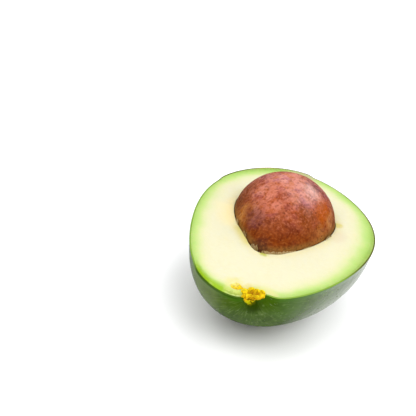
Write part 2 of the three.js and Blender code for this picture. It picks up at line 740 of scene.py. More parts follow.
@dataclass(frozen=True)
class SeedForm:
    """The seed's egg, its blunt end to the blossom end."""

    centre: Point
    half_length: float = 25 * MM
    radius: float = 19.55 * MM
    swell: float = 0.35
    flattening: float = 0.97
    rise_rounds: int = 12

    def surface(self, direction: np.ndarray, grow: np.ndarray | float = 0.0) -> np.ndarray:
        """Points on the egg.

        Args:
            direction: Unit vectors from its middle, one row each.
            grow: Clearance added all round.

        Returns:
            The points in the part's frame.
        """
        wide = (self.radius + grow) * (1 + self.swell * direction[:, 1])
        x = wide * direction[:, 0]
        y = (self.half_length + grow) * direction[:, 1]
        z = wide * self.flattening * direction[:, 2]
        return np.stack([x, y, z], 1) + np.array(self.centre)

    @staticmethod
    def direction(turn: np.ndarray, rise: np.ndarray | float) -> np.ndarray:
        """Unit vectors from the seed's middle.

        Args:
            turn: Direction round the seed.
            rise: Angle out of the level.

        Returns:
            The vectors, one row each.
        """
        level_x = np.cos(rise) * np.sin(turn)
        level_y = -np.cos(rise) * np.cos(turn)
        return np.stack(np.broadcast_arrays(level_x, level_y, np.sin(rise)), -1)

    def rise_at(self, turn: np.ndarray, height: np.ndarray | float) -> np.ndarray:
        """How steeply the egg's points at a height rise from its middle.

        Args:
            turn: Direction round the egg.
            height: Height in the part's frame.

        Returns:
            The angles in radians.
        """
        rise = np.zeros_like(turn)
        for _ in range(self.rise_rounds):
            along = -np.cos(rise) * np.cos(turn)
            tall = self.radius * self.flattening * (1 + self.swell * along)
            rise = np.arcsin(np.clip((height - self.centre[2]) / tall, -1, 1))
        return rise


@dataclass(frozen=True)
class PlugForm:
    """The stem plug seen from above: an oval button, askew to the fruit, and a smaller lobe beside it."""

    centre: Point
    half_width: float = 4.0 * MM
    half_length: float = 2.5 * MM
    askew_deg: float = 28.0
    depth_below: float = 1.3 * MM
    squareness: int = 4
    open_front: float = 0.6
    lobe_side: float = -6.6 * MM
    lobe_along: float = 0.4 * MM
    lobe_radius: float = 2.3 * MM
    lobe_below: float = 0.6 * MM

    @property
    def lean(self) -> Span:
        """Cosine and sine of the angle that the button lies askew by."""
        angle = math.radians(self.askew_deg)
        return math.cos(angle), math.sin(angle)

    def askew(self, points: np.ndarray) -> tuple[np.ndarray, np.ndarray]:
        """Where places lie in the button, seen from above.

        Args:
            points: Places in the part's frame, one row each.

        Returns:
            How far across and along they are, as shares of its half width and half length.
        """
        x = points[:, 0] - self.centre[0]
        y = points[:, 1] - self.centre[1]
        cos, sin = self.lean
        return (x * cos + y * sin) / self.half_width, (y * cos - x * sin) / self.half_length

    def at(self, across: float, along: float) -> Span:
        """Finds a place in the button, seen from above.

        Args:
            across: Share of its half width.
            along: Share of its half length.

        Returns:
            The place's x and y in the part's frame.
        """
        cos, sin = self.lean
        wide = across * self.half_width
        long = along * self.half_length
        return self.centre[0] + wide * cos - long * sin, self.centre[1] + wide * sin + long * cos

    def in_lobe(self, across: float, along: float) -> Span:
        """The x and y of a place that lies that far from the lobe's middle."""
        x = self.centre[0] + self.lobe_side + across
        return x, self.centre[1] + self.lobe_along + along

    def depth(self, points: np.ndarray) -> np.ndarray:
        """How far the plug's notch reaches under the cut, its front carried on outwards.

        Args:
            points: Places in the part's frame, one row each.

        Returns:
            The depths, 0 outside the plug.
        """
        across, along = self.askew(points)
        share = np.hypot(across, np.maximum(along, -self.open_front))
        button = self.depth_below * np.sqrt(np.clip(1 - share**self.squareness, 0, None))
        lobe_x = points[:, 0] - self.centre[0] - self.lobe_side
        lobe_y = points[:, 1] - self.centre[1] - self.lobe_along
        lobe_share = np.hypot(lobe_x, lobe_y) / self.lobe_radius
        return np.maximum(button, self.lobe_below * np.sqrt(np.clip(1 - lobe_share**2, 0, None)))


@dataclass(frozen=True)
class CutForm:
    """The surface that the knife left: level, but lower along a bevel and in the plug's notch.

    Along part of the blossom end it rises towards the skin.
    """

    fruit: FruitForm
    plug: PlugForm
    bevel_drop: float = 1.8 * MM
    bevel_width: float = 1.9 * MM
    bevel_where: Stretch = Stretch(331.0, 362.0, 11.0)
    bevel_widening: float = 1.3 * MM
    bevel_wider: Bump = Bump(353.0, 8.0)
    far_rise: float = 0.7 * MM
    far_reach: float = 2.4 * MM
    far_where: Stretch = Stretch(178.0, 240.0, 6.0)
    edge_round: float = 0.12 * MM
    edge_width: float = 0.3 * MM
    waviness: float = 0.2 * MM
    wave: float = 26 * MM
    edge_thickness: float = 0.55 * MM
    skin_thickness: float = 0.9 * MM
    thickens_over: float = 0.14

    def bevel(self, turn: np.ndarray) -> np.ndarray:
        """How much of the bevel there is in a direction, from 0 to 1."""
        return self.bevel_where.at(turn)

    def bevel_reach(self, turn: np.ndarray) -> np.ndarray:
        """How far in from the outside of the skin the bevel starts in a direction."""
        return self.bevel_width + self.bevel_widening * self.bevel_wider.at(turn)

    def drop(self, turn: np.ndarray, depth: np.ndarray | float, points: np.ndarray) -> np.ndarray:
        """How far the cut surface lies under the cut's level.

        Args:
            turn: Direction round the half.
            depth: Distance in from the outside of the skin.
            points: The places, one row each.

        Returns:
            The drops.
        """
        wavy = self.waviness * np.clip(rough_share(points, self.wave), 0, 1)
        depth = np.asarray(depth)
        lowered = self.bevel_drop * self.bevel(turn) * (1 - smooth_step(0, self.bevel_reach(turn), depth))
        rounded = self.edge_round * np.exp(-((depth / self.edge_width) ** 2))
        raised = self.far_rise * self.far_where.at(turn) * (1 - smooth_step(0, self.far_reach, depth))
        return np.maximum(wavy + lowered + rounded, self.plug.depth(points)) - raised

    def edge_dip(self, turn: np.ndarray, depth: float) -> np.ndarray:
        """The dip at which the skin, or what is a depth under its surface, ends at the cut."""
        level = self.fruit.surface(turn, 0.0, depth)
        return self.fruit.dip_at(self.drop(turn, depth, level))

    def inner_inset(self, share: float) -> float:
        """Depth of the skin's inner face, from the cut at 0 to the bottom at 1; the cut edge is thinner."""
        full = min(1.0, share / self.thickens_over)
        return self.edge_thickness + (self.skin_thickness - self.edge_thickness) * full


@dataclass(frozen=True)
class SkinFinish:
    """Waxy green peel with paler flecks, streaks round the stem and a thin cut edge, brown on one side."""

    deep: Colour = seen("324f06", Light.SIDE)
    middle: Colour = seen("486912", Light.SIDE)
    pale: Colour = seen("648428", Light.SIDE)
    fleck: Colour = seen("8aa45c", Light.SIDE)
    under_rim: Colour = seen("50841c", Light.SIDE)
    # Painted shade on the cut edge and the peel just under the bevel
    painted_shade_under_bevel: Colour = seen("2c5000", Light.SIDE)
    cut_edge: Colour = seen("92b848", Light.LEVEL)
    brown_edge: Colour = seen("676636", Light.LEVEL)
    # Painted light on the left flank, painted sheen on the right, green by the dimple, painted shade under
    # the plug, yellow along its tongue
    stains_and_painted_light: tuple[Patch, ...] = (
        # Painted light on the left flank
        Patch(seen("748c36", Light.SIDE), (-14.0, -45.5, 30.0), 13.0, 0.6),
        # Painted sheen on the right flank
        Patch(seen("5b8330", Light.SIDE), (16.0, -40.5, 29.0), 9.0, 0.5),
        Patch(seen("4c7006", Light.SIDE), (9.2, -46.2, 33.2), 4.0, 0.6, 0.9, 2.0),
        # Painted shade under the plug
        Patch(seen("2b4200", Light.SIDE), (4.6, -48.4, 29.8), 4.5, 0.8, 0.6, 1.5),
        Patch(seen("b4aa06", Light.SIDE), (3.8, -49.0, 32.0), 2.6, 0.75, 0.7, 1.0),
    )
    # Brown marks on the cut edge
    scars: tuple[Patch, ...] = (
        Patch(seen("7a5236", Light.LEVEL), (2.0, 50.4, 34.4), 3.0, 0.9, 1.4, 2.0),
        Patch(seen("b4785c", Light.LEVEL), (-19.5, 44.5, 35.0), 8.0, 0.9, 1.2, 2.0),
        Patch(seen("6a4a30", Light.LEVEL), (28.8, 27.8, 34.5), 6.0, 0.9, 1.4, 2.0),
    )
    rim_reach_mm: Span = (3.0, 0.3)
    streaks_to_a_radian: float = 22.0
    streak_breaks_to_a_metre: float = 190.0
    streak_range: Span = (0.52, 0.66)
    streak_fade: Span = (32 * MM, 10 * MM)
    roughness: Span = (0.2, 0.3)
    relief_share: float = 0.5

    def material(self, effects: SharedEffects, stem: Point) -> bpy.types.Material:
        """Builds the finish.

        Args:
            effects: The shared shader groups.
            stem: Middle of the stem plug.

        Returns:
            The material.
        """
        made = Finish("waxy_green_peel", effects)
        sheet = made.sheet
        broad, fine = made.clouds(broad_mm=15, fine_mm=2.2)
        specks = made.specks(apart_mm=1.5, size=0.42, share=0.5)
        edge = made.carried("cut_edge")
        made.colour = sheet.mix(broad, self.deep, self.middle)
        made.paint(self.pale, fine, strength=0.45)
        made.paint(self.fleck, self._streaks(made, stem), strength=0.35)
        made.paint(self.fleck, specks, strength=0.4)
        near_rim = sheet.ease(made.carried("below_rim"), *self.rim_reach_mm)
        made.paint(self.under_rim, near_rim, strength=0.75)
        # Stains, and painted light, sheen and shade on the flanks and under the plug
        for paint_patch in self.stains_and_painted_light:
            made.paint_patch(paint_patch)
        made.paint(self.cut_edge, edge)
        made.paint(self.brown_edge, made.carried("brown_edge"), strength=0.9)
        # Painted shade along the bevel, on the cut edge and just under it
        made.paint(self.painted_shade_under_bevel, made.carried("bevel"), strength=0.8)
        for scar in self.scars:
            made.paint_patch(scar, edge)
        return made.done(
            roughness=sheet.between(fine, *self.roughness),
            height=sheet.both(sheet.math("ADD", specks, fine), self.relief_share),
            depth_mm=0.08,
            Specular_IOR_Level=0.0,
            Coat_Weight=made.carried("wax"),
            Coat_Roughness=0.22,
            Coat_IOR=1.5,
        )

    def _streaks(self, made: Finish, stem: Point) -> Socket:
        """Fine pale lines that run out from the stem and fade along the fruit.

        Args:
            made: The finish that they go on.
            stem: Where they start.

        Returns:
            Their mask.
        """
        sheet = made.sheet
        away = sheet.vector("SUBTRACT", made.place, stem)
        parts = sheet.node("ShaderNodeSeparateXYZ", {0: away}).outputs
        angle = sheet.math("ARCTAN2", parts[0], sheet.math("MULTIPLY", parts[2], -1.0))
        length = sheet.vector("LENGTH", away)
        across = sheet.math("MULTIPLY", angle, self.streaks_to_a_radian)
        along = sheet.math("MULTIPLY", length, self.streak_breaks_to_a_metre)
        lines = made.lines(across, along, detail=2.0)
        return sheet.both(sheet.ease(lines, *self.streak_range), sheet.ease(length, *self.streak_fade))


@dataclass(frozen=True)
class FleshFinish:
    """Buttery flesh, green under the skin and stained where the seed and the stem plug touch it; painted
    light and shade by the seed and at the rim.
    """

    by_depth_mm: tuple[tuple[float, Colour], ...] = (
        (0.3, seen("a4ca58", Light.LEVEL)),
        (0.8, seen("b6df6c", Light.LEVEL)),
        (2.0, seen("cbee84", Light.LEVEL)),
        (3.2, seen("e0f4a0", Light.LEVEL)),
        (4.2, seen("f0f7b8", Light.LEVEL)),
        (5.8, seen("fbf9cc", Light.LEVEL)),
        (8.0, seen("fefad6", Light.LEVEL)),
    )
    deepest_mm: float = 11.0
    depth_unevenness: Span = (0.85, 1.15)
    lime: Colour = seen("addb08", Light.LEVEL)
    pale_lime: Colour = seen("f4fc94", Light.LEVEL)
    torn_lime: Colour = seen("84ac14", Light.LEVEL)
    torn_lip: Colour = seen("d4ee88", Light.LEVEL)
    butter: Colour = seen("fbeeb0", Light.LEVEL)
    # Brown of the hollow: partly the seed coat's stain, partly painted shade in the gap round the seed
    hollow: Colour = seen("5c420c", Light.LEVEL)
    butter_reach_mm: Span = (4.5, 0.5)
    # Painted light on the flesh left of the seed, brightening the seed's shade there
    painted_light_left_of_seed: Patch = Patch(seen("fae8ac", Light.ROUND), (-20.5, -1.0, 34.6), 14.0, 0.75, 0.6)
    left_reach_mm: Span = (10.0, 1.0)
    low_left_of_seed: Patch = Patch(seen("f2e27c", Light.LEVEL), (-12.0, -15.0, 34.6), 10.0, 0.8, 0.5)
    low_left_reach_mm: Span = (3.4, 0.4)
    shaded: Patch = Patch(seen("f6e4c0", Light.LEVEL), (20.5, 7.5, 34.6), 6.0, 0.5, 0.9)
    right_of_seed: Patch = Patch(seen("ecdc70", Light.LEVEL), (18.7, 15.8, 34.6), 3.2, 0.75, 1.0, 2.0)
    sap: Patch = Patch(seen("c8cc3c", Light.LEVEL), (-1.0, -21.3, 34.4), 2.4, 0.85, 0.9, 0.9)
    beside_stem: Patch = Patch(seen("fdf2ac", Light.LEVEL), (7.6, -44.8, 34.6), 5.2, 0.75, 0.8, 2.0)
    by_lobe: Patch = Patch(seen("fcf4a0", Light.LEVEL), (-4.4, -44.8, 34.6), 5.0, 0.7, 0.8, 2.0)
    stem_yellow: Patch = Patch(seen("f4dc50", Light.LEVEL), (1.7, -46.3, 34.6), 6.0, 0.5, 0.8, 2.0)
    far_pale: Patch = Patch(seen("d6cc9c", Light.LEVEL), (-3.5, 49.5, 35.2), 9.0, 0.75, 0.8)
    torn_mm: Point = (-2.8, -48.4, 33.8)
    tear_raggedness_mm: float = 0.7
    crack_outside_mm: Span = (1.3, 1.6)
    crack_inside_mm: Span = (2.4, 1.9)
    torn_lip_mm: Span = (1.6, 1.3)
    scrapes_across: float = 7.0
    scrape_breaks_to_a_metre: float = 150.0
    scrape_range: Span = (0.52, 0.68)
    roughness: Span = (0.42, 0.57)

    def material(self, effects: SharedEffects) -> bpy.types.Material:
        """Builds the finish.

        Args:
            effects: The shared shader groups.

        Returns:
            The material.
        """
        made = Finish("buttery_flesh", effects)
        sheet = made.sheet
        broad, fine = made.clouds(broad_mm=11, fine_mm=1.3)
        bevel = made.carried("bevel")
        from_seed = made.carried("seed_mm")
        depth = sheet.both(made.carried("rim_mm"), sheet.between(broad, *self.depth_unevenness))
        stops = [(mm / self.deepest_mm, colour) for mm, colour in self.by_depth_mm]
        made.colour = sheet.ramp(sheet.math("DIVIDE", depth, self.deepest_mm), stops)
        made.paint(self.butter, sheet.both(broad, fine), strength=0.25)
        made.paint(self.lime, bevel, strength=0.95)
        made.paint(self.pale_lime, sheet.both(self._scrapes(made, bevel), bevel), strength=0.5)
        self._tear(made, bevel, fine)
        made.paint(self.butter, sheet.ease(from_seed, *self.butter_reach_mm), strength=0.5)
        # Painted light beside the seed on its left
        made.paint_patch(self.painted_light_left_of_seed, sheet.ease(from_seed, *self.left_reach_mm))
        made.paint_patch(self.low_left_of_seed, sheet.ease(from_seed, *self.low_left_reach_mm))
        by_seed = (self.shaded, self.right_of_seed, self.sap)
        by_stem = (self.beside_stem, self.by_lobe, self.stem_yellow)
        for patch in (*by_seed, *by_stem, self.far_pale):
            made.paint_patch(patch)
        # Partly stain, partly painted shade in the hollow and along its edge
        made.paint(self.hollow, made.carried("hollow"))
        return made.done(
            roughness=sheet.between(fine, *self.roughness),
            height=fine,
            depth_mm=0.06,
            IOR=1.42,
            Specular_IOR_Level=0.2,
            Subsurface_Weight=0.3,
            Subsurface_Radius=(1.0, 0.8, 0.35),
            Subsurface_Scale=1.6 * MM,
        )

    def _tear(self, made: Finish, bevel: Socket, fine: Socket) -> None:
        """Paints the torn end of the bevel: pale, with a dark crack and a pale lip along the skin.

        Args:
            made: The finish.
            bevel: Where the bevel is.
            fine: Fine noise.
        """
        sheet = made.sheet
        torn = made.spot(self.torn_mm, radius_mm=5.0, raggedness=0.6, grain_mm=2.0)
        ragged = sheet.math("MULTIPLY_ADD", fine, self.tear_raggedness_mm, made.carried("rim_mm"))
        crack = sheet.both(
            sheet.ease(ragged, *self.crack_outside_mm), sheet.ease(ragged, *self.crack_inside_mm)
        )
        lip = sheet.ease(ragged, *self.torn_lip_mm)
        made.paint(self.pale_lime, sheet.both(bevel, torn), strength=0.9)
        made.paint(self.torn_lime, sheet.both(crack, torn), strength=0.65)
        made.paint(self.torn_lip, sheet.both(lip, torn), strength=0.8)

    def _scrapes(self, made: Finish, bevel: Socket) -> Socket:
        """Pale lines that the knife scraped along the bevel.

        Args:
            made: The finish that they go on.
            bevel: How far down the bevel a place is.

        Returns:
            Their mask.
        """
        sheet = made.sheet
        side = sheet.node("ShaderNodeSeparateXYZ", {0: made.place}).outputs[0]
        across = sheet.math("MULTIPLY", bevel, self.scrapes_across)
        along = sheet.math("MULTIPLY", side, self.scrape_breaks_to_a_metre)
        return sheet.ease(made.lines(across, along, detail=3.0), *self.scrape_range)


@dataclass(frozen=True)
class SeedFinish:
    """Dry brown seed coat with red, purple and orange patches, fine specks and a waxy sheen on top, with
    painted sheen and painted shade.
    """

    brown: Colour = seen("98502e", Light.ROUND)
    red: Colour = seen("b86248", Light.ROUND)
    rose: Colour = seen("dc8a74", Light.ROUND)
    dark: Colour = seen("501f10", Light.ROUND)
    # Painted shade: the seed darker towards its foot
    low: Colour = seen("823c08", Light.ROUND)
    tan: Colour = seen("a86430", Light.ROUND)
    olive: Colour = seen("9c743a", Light.ROUND)
    # Painted shade in the gap round the seed's foot
    painted_gap_shade: Colour = seen("38240a", Light.ROUND)
    rusty: Colour = (0.84, 0.7, 0.45, 1.0)
    plummy: Colour = (0.74, 0.64, 0.78, 1.0)
    # Under the mottling: stains, and among them painted sheen and painted shade
    patches: tuple[Patch, ...] = (
        Patch(seen("f29e8c", Light.LEVEL), (-1.5, 8.0, 50.8), 12.5, 0.8, 1.4, 5.0),
        Patch(seen("cc785e", Light.ROUND), (-8.5, -0.5, 47.6), 10.0, 0.8, 1.2),
        Patch(seen("c47c76", Light.ROUND), (-11.5, 12.0, 48.8), 6.5, 0.6, 1.2),
        Patch(seen("cc8644", Light.ROUND), (-16.0, -6.5, 38.6), 8.0, 0.85, 1.0),
        Patch(seen("d48a7a", Light.ROUND), (-12.5, 2.2, 47.8), 5.0, 0.55, 1.2),
        Patch(seen("8c524c", Light.ROUND), (-9.4, -9.8, 41.5), 6.5, 0.7, 1.6, 5.0),
        Patch(seen("d07a64", Light.ROUND), (-4.6, -7.4, 44.6), 4.5, 0.6, 1.2, 3.0),
        Patch(seen("d08878", Light.ROUND), (3.6, -1.0, 47.6), 4.0, 0.5, 1.2, 3.0),
        Patch(seen("8c4414", Light.ROUND), (8.6, -2.6, 44.6), 6.5, 0.85, 0.8),
        Patch(seen("b85000", Light.ROUND), (13.4, 5.6, 44.4), 7.2, 0.95, 1.3, 5.0),
        Patch(seen("c48850", Light.ROUND), (17.6, 7.6, 40.2), 5.5, 0.85, 1.2),
        Patch(seen("b4703a", Light.ROUND), (16.0, 0.5, 38.0), 6.0, 0.8, 1.2),
        # Painted shade on the seed's low front
        Patch(seen("7c3200", Light.ROUND), (3.5, -16.0, 39.0), 10.0, 0.5, 1.4),
        Patch(seen("964428", Light.ROUND), (-2.4, -1.0, 48.7), 3.8, 0.85, 1.2, 2.0),
        Patch(seen("e4a094", Light.ROUND), (-5.5, 9.5, 51.0), 5.5, 0.6, 1.2, 3.0),
        Patch(seen("a06c66", Light.ROUND), (6.0, 12.5, 50.2), 5.0, 0.6, 1.2, 3.0),
        Patch(seen("8c4a4c", Light.ROUND), (9.6, 15.0, 47.6), 6.0, 0.65, 1.2, 3.0),
        # Painted sheen, pale mauve, below the coat's sheen
        Patch(seen("c07c7a", Light.ROUND), (7.6, 2.6, 48.0), 4.5, 0.6, 1.2, 3.0),
        # Painted shade along the seed's far edge
        Patch(seen("7c4238", Light.ROUND), (0.0, 27.0, 45.0), 11.0, 0.8, 0.8),
    )
    # Over the mottling: stains, and a painted shadow of the gap at the seed's front foot
    late_patches: tuple[Patch, ...] = (
        # Painted shadow of the gap at the seed's front foot
        Patch(seen("44201c", Light.ROUND), (-3.4, -19.4, 35.8), 4.8, 0.7, 1.3, 2.0),
        Patch(seen("843e14", Light.ROUND), (8.8, -2.6, 44.6), 5.5, 0.6, 1.2, 3.0),
        Patch(seen("a86030", Light.ROUND), (12.4, -3.4, 36.4), 5.0, 0.5, 1.2, 3.0),
        Patch(seen("a84e00", Light.ROUND), (13.4, 5.4, 44.2), 6.5, 0.8, 1.3, 3.0),
        Patch(seen("8e4628", Light.ROUND), (-13.4, -5.6, 41.2), 3.2, 0.6, 1.2, 3.0),
    )
    upper_mm: Span = (38.0, 48.0)
    foot_mm: Span = (37.5, 35.0)
    # Heights of the painted gap shade
    sunk_mm: Span = (34.8, 34.2)
    rusty_range: Span = (0.4, 0.9)
    plummy_range: Span = (0.5, 0.95)
    rose_range: Span = (0.4, 0.0)
    pale_grain_range: Span = (0.6, 0.95)
    dark_grain_range: Span = (0.4, 0.05)
    sheen_mm: Point = (6.0, 6.0, 50.0)
    roughness: Span = (0.4, 0.54)
    speck_relief: float = 0.3

    def material(self, effects: SharedEffects) -> bpy.types.Material:
        """Builds the finish.

        Args:
            effects: The shared shader groups.

        Returns:
            The material.
        """
        made = Finish("mottled_seed_coat", effects)
        sheet = made.sheet
        broad, fine = made.clouds(broad_mm=8, fine_mm=1.4)
        blotch, grain = made.clouds(broad_mm=2.8, fine_mm=0.9)
        cloudy, _ = made.clouds(broad_mm=3.7, fine_mm=0.7)
        specks = made.specks(apart_mm=1.1, size=0.45, share=0.4)
        upper = made.by_height(*self.upper_mm)
        made.colour = sheet.mix(broad, self.brown, self.red)
        # Painted shade: darker towards the bottom
        made.paint(self.low, made.by_height(*reversed(self.upper_mm)), strength=0.85)
        for patch in self.patches:
            made.paint_patch(patch)
        made.paint(self.rusty, sheet.ease(blotch, *self.rusty_range), blend="MULTIPLY")
        made.paint(self.plummy, sheet.ease(cloudy, *self.plummy_range), blend="MULTIPLY")
        made.paint(self.rose, sheet.both(sheet.ease(cloudy, *self.rose_range), upper), strength=0.35)
        made.paint(self.olive, made.by_height(*self.foot_mm), strength=0.65)
        for patch in self.late_patches:
            made.paint_patch(patch)
        # Painted shade in the gap where the seed sinks into the flesh
        made.paint(self.painted_gap_shade, made.by_height(*self.sunk_mm), strength=0.85)
        pale_grain = sheet.ease(grain, *self.pale_grain_range)
        made.paint(sheet.mix(upper, self.tan, self.rose), pale_grain, strength=0.35)
        made.paint(self.dark, sheet.ease(grain, *self.dark_grain_range), strength=0.4)
        made.paint(self.dark, specks, strength=0.45)
        return made.done(
            roughness=sheet.between(fine, *self.roughness),
            height=sheet.math("SUBTRACT", fine, sheet.both(specks, self.speck_relief)),
            depth_mm=0.12,
            Specular_IOR_Level=0.02,
            Coat_Weight=made.spot(self.sheen_mm, radius_mm=12.0, raggedness=0.6, grain_mm=4.0),
            Coat_Roughness=0.28,
            Coat_IOR=1.5,
        )


@dataclass(frozen=True)
class CoatFinish:
    """Papery tan remains of the seed coat."""

    tan: Colour = seen("a08444", Light.ROUND)
    pale: Colour = seen("cdae78", Light.ROUND)
    brown: Colour = seen("6b4518", Light.ROUND)
    brown_power: float = 2.0
    roughness: Span = (0.6, 0.8)

    def material(self, effects: SharedEffects) -> bpy.types.Material:
        """Builds the finish.

        Args:
            effects: The shared shader groups.

        Returns:
            The material.
        """
        made = Finish("papery_coat", effects)
        sheet = made.sheet
        broad, fine = made.clouds(broad_mm=2.5, fine_mm=0.5)
        made.colour = sheet.mix(broad, self.tan, self.pale)
        made.paint(self.brown, sheet.math("POWER", fine, self.brown_power), strength=0.7)
        return made.done(roughness=sheet.between(fine, *self.roughness), height=fine, depth_mm=0.05)


@dataclass(frozen=True)
class PlugFinish:
    """Dried golden stem tissue, darker in its cracks and olive at its tip."""

    golden: Colour = seen("f0c810", Light.ROUND)
    yellow: Colour = seen("fce41c", Light.ROUND)
    amber: Colour = seen("dc9000", Light.ROUND)
    crack: Colour = seen("8a4a00", Light.LEVEL)
    olive: Colour = seen("c4cc00", Light.ROUND)
    tip: Colour = seen("6c7c04", Light.ROUND)
    heart: Patch = Patch(seen("b07000", Light.LEVEL), (3.4, -47.4, 34.0), 3.0, 0.55, 0.9, 0.8)
    lobe: Patch = Patch(seen("fff08c", Light.ROUND), (-5.0, -45.0, 34.8), 3.2, 0.85, 0.8, 1.0)
    yellow_mm: Span = (34.3, 34.9)
    olive_mm: Span = (33.4, 31.8)
    tip_mm: Span = (32.0, 31.0)
    roughness: Span = (0.65, 0.85)

    def material(self, effects: SharedEffects) -> bpy.types.Material:
        """Builds the finish.

        Args:
            effects: The shared shader groups.

        Returns:
            The material.
        """
        made = Finish("dried_stem_tissue", effects)
        sheet = made.sheet
        broad, fine = made.clouds(broad_mm=2.0, fine_mm=0.5)
        made.colour = sheet.mix(broad, self.golden, self.yellow)
        made.paint(self.amber, fine, strength=0.6)
        made.paint(self.yellow, made.by_height(*self.yellow_mm), strength=0.65)
        made.paint(self.crack, made.carried("hollowness"), strength=0.6)
        made.paint_patch(self.heart)
        made.paint_patch(self.lobe)
        made.paint(self.olive, made.by_height(*self.olive_mm), strength=0.7)
        made.paint(self.tip, made.by_height(*self.tip_mm), strength=0.8)
        return made.done(
            roughness=sheet.between(fine, *self.roughness),
            height=fine,
            depth_mm=0.15,
            Specular_IOR_Level=0.04,
            Subsurface_Weight=0.6,
            Subsurface_Radius=(1.0, 0.6, 0.15),
            Subsurface_Scale=0.7 * MM,
        )


@dataclass(frozen=True)
class PlainFinish:
    """A finish of two near colours in soft clouds."""

    name: str
    first: Colour
    second: Colour
    broad_mm: float
    fine_mm: float
    roughness: Span
    depth_mm: float
    specular: float

    def material(self, effects: SharedEffects) -> bpy.types.Material:
        """Builds the finish.

        Args:
            effects: The shared shader groups.

        Returns:
            The material.
        """
        made = Finish(self.name, effects)
        broad, fine = made.clouds(self.broad_mm, self.fine_mm)
        made.colour = made.sheet.mix(broad, self.first, self.second)
        roughness = made.sheet.between(fine, *self.roughness)
        return made.done(roughness, fine, self.depth_mm, Specular_IOR_Level=self.specular)


CORKY_DOTS = PlainFinish(
    name="corky_dots",
    first=seen("5c7c34", Light.SIDE),
    second=seen("728e4e", Light.SIDE),
    broad_mm=4.0,
    fine_mm=0.4,
    roughness=(0.5, 0.65),
    depth_mm=0.03,
    specular=0.1,
)
WHITE_TABLETOP = PlainFinish(
    name="white_tabletop",
    first=(0.955, 0.955, 0.96, 1.0),
    second=(0.975, 0.975, 0.98, 1.0),
    broad_mm=90.0,
    fine_mm=1.0,
    roughness=(0.55, 0.63),
    depth_mm=0.01,
    specular=0.3,
)


@dataclass(frozen=True)
class Bits:
    """What is strewn on a piece.

    Attributes:
        per_square_mm: Bits to a square millimetre where there is full room.
        half_sizes_mm: A large bit's half length, half width and half height.
        smallest: The smallest bit's size as a share of a large one.
        seed: Picks the places and sizes.
    """

    per_square_mm: float
    half_sizes_mm: Point
    smallest: float
    seed: int


class Scatter:
    """A Geometry Nodes tree that strews small rounded bits over a mesh where it carries room for them."""

    def __init__(self) -> None:
        """Builds the tree."""
        self.tree = bpy.data.node_groups.new("strewn_bits", "GeometryNodeTree")
        sockets = {
            "Ground": "NodeSocketGeometry",
            "Bits per square metre": "NodeSocketFloat",
            "Seed": "NodeSocketInt",
            "Bit size": "NodeSocketVector",
            "Smallest share": "NodeSocketFloat",
            "Lines start at": "NodeSocketVector",
            "Finish": "NodeSocketMaterial",
        }
        for name, kind in sockets.items():
            self.tree.interface.new_socket(name, in_out="INPUT", socket_type=kind)
        self.tree.interface.new_socket("Bits", in_out="OUTPUT", socket_type="NodeSocketGeometry")
        self._wire(NodeSheet(self.tree))

    @staticmethod
    def _wire(sheet: NodeSheet) -> None:
        """Links the nodes from the ground to the finished bits.

        Args:
            sheet: The tree's sheet.
        """
        given = sheet.node("NodeGroupInput").outputs
        room = sheet.node("GeometryNodeInputNamedAttribute", {"Name": "room"}, data_type="FLOAT")
        density = sheet.math("MULTIPLY", room.outputs[0], given["Bits per square metre"])
        strewn = sheet.node(
            "GeometryNodeDistributePointsOnFaces",
            {"Mesh": given["Ground"], "Density": density, "Seed": given["Seed"]},
            distribute_method="RANDOM",
        )
        here = sheet.node("GeometryNodeInputPosition").outputs[0]
        line = sheet.vector("SUBTRACT", here, given["Lines start at"])
        turned = sheet.node(
            "FunctionNodeAlignRotationToVector",
            {"Rotation": strewn.outputs["Rotation"], "Vector": line},
            axis="X",
            pivot_axis="Z",
        )
        draw = sheet.node(
            "FunctionNodeRandomValue",
            {2: given["Smallest share"], 3: 1.0, "Seed": given["Seed"]},
            data_type="FLOAT",
        )
        scaled = {0: given["Bit size"], "Scale": draw.outputs[1]}
        size = sheet.node("ShaderNodeVectorMath", scaled, operation="SCALE")
        bit = sheet.node("GeometryNodeMeshIcoSphere", {"Radius": 1.0, "Subdivisions": 1})
        instances = sheet.node(
            "GeometryNodeInstanceOnPoints",
            {
                "Points": strewn.outputs["Points"],
                "Instance": bit.outputs["Mesh"],
                "Rotation": turned.outputs[0],
                "Scale": size.outputs[0],
            },
        )
        real = sheet.node("GeometryNodeRealizeInstances", {0: instances.outputs[0]})
        smooth = sheet.node("GeometryNodeSetShadeSmooth", {"Geometry": real.outputs[0]})
        painted = sheet.node(
            "GeometryNodeSetMaterial", {"Geometry": smooth.outputs[0], "Material": given["Finish"]}
        )
        sheet.node("NodeGroupOutput", {"Bits": painted.outputs[0]})

    def strew(
        self,
        ground: bpy.types.Mesh,
        material: bpy.types.Material,
        name: str,
        bits: Bits,
        lines_from: Point,
    ) -> bpy.types.Object:
        """Strews bits over a mesh.

        Args:
            ground: The mesh, which carries "room" from 0 to 1.
            material: The bits' finish.
            name: The new object's name.
            bits: Their number and sizes.
            lines_from: Where the lines that the bits lie along start.

        Returns:
            The bits as one object.
        """
        helper = place(ground.copy(), material, name + "_ground")
        modifier = helper.modifiers.new("strewn", "NODES")
        modifier.node_group = self.tree
        values = {
            "Bits per square metre": bits.per_square_mm / MM**2,
            "Seed": bits.seed,
            "Bit size": [s * MM for s in bits.half_sizes_mm],
            "Smallest share": bits.smallest,
            "Lines start at": list(lines_from),
            "Finish": material,
        }
        for item in self.tree.interface.items_tree:
            if item.in_out == "INPUT" and item.name in values:
                modifier[item.identifier] = values[item.name]
        return place(evaluated_mesh(helper, name), material, name)


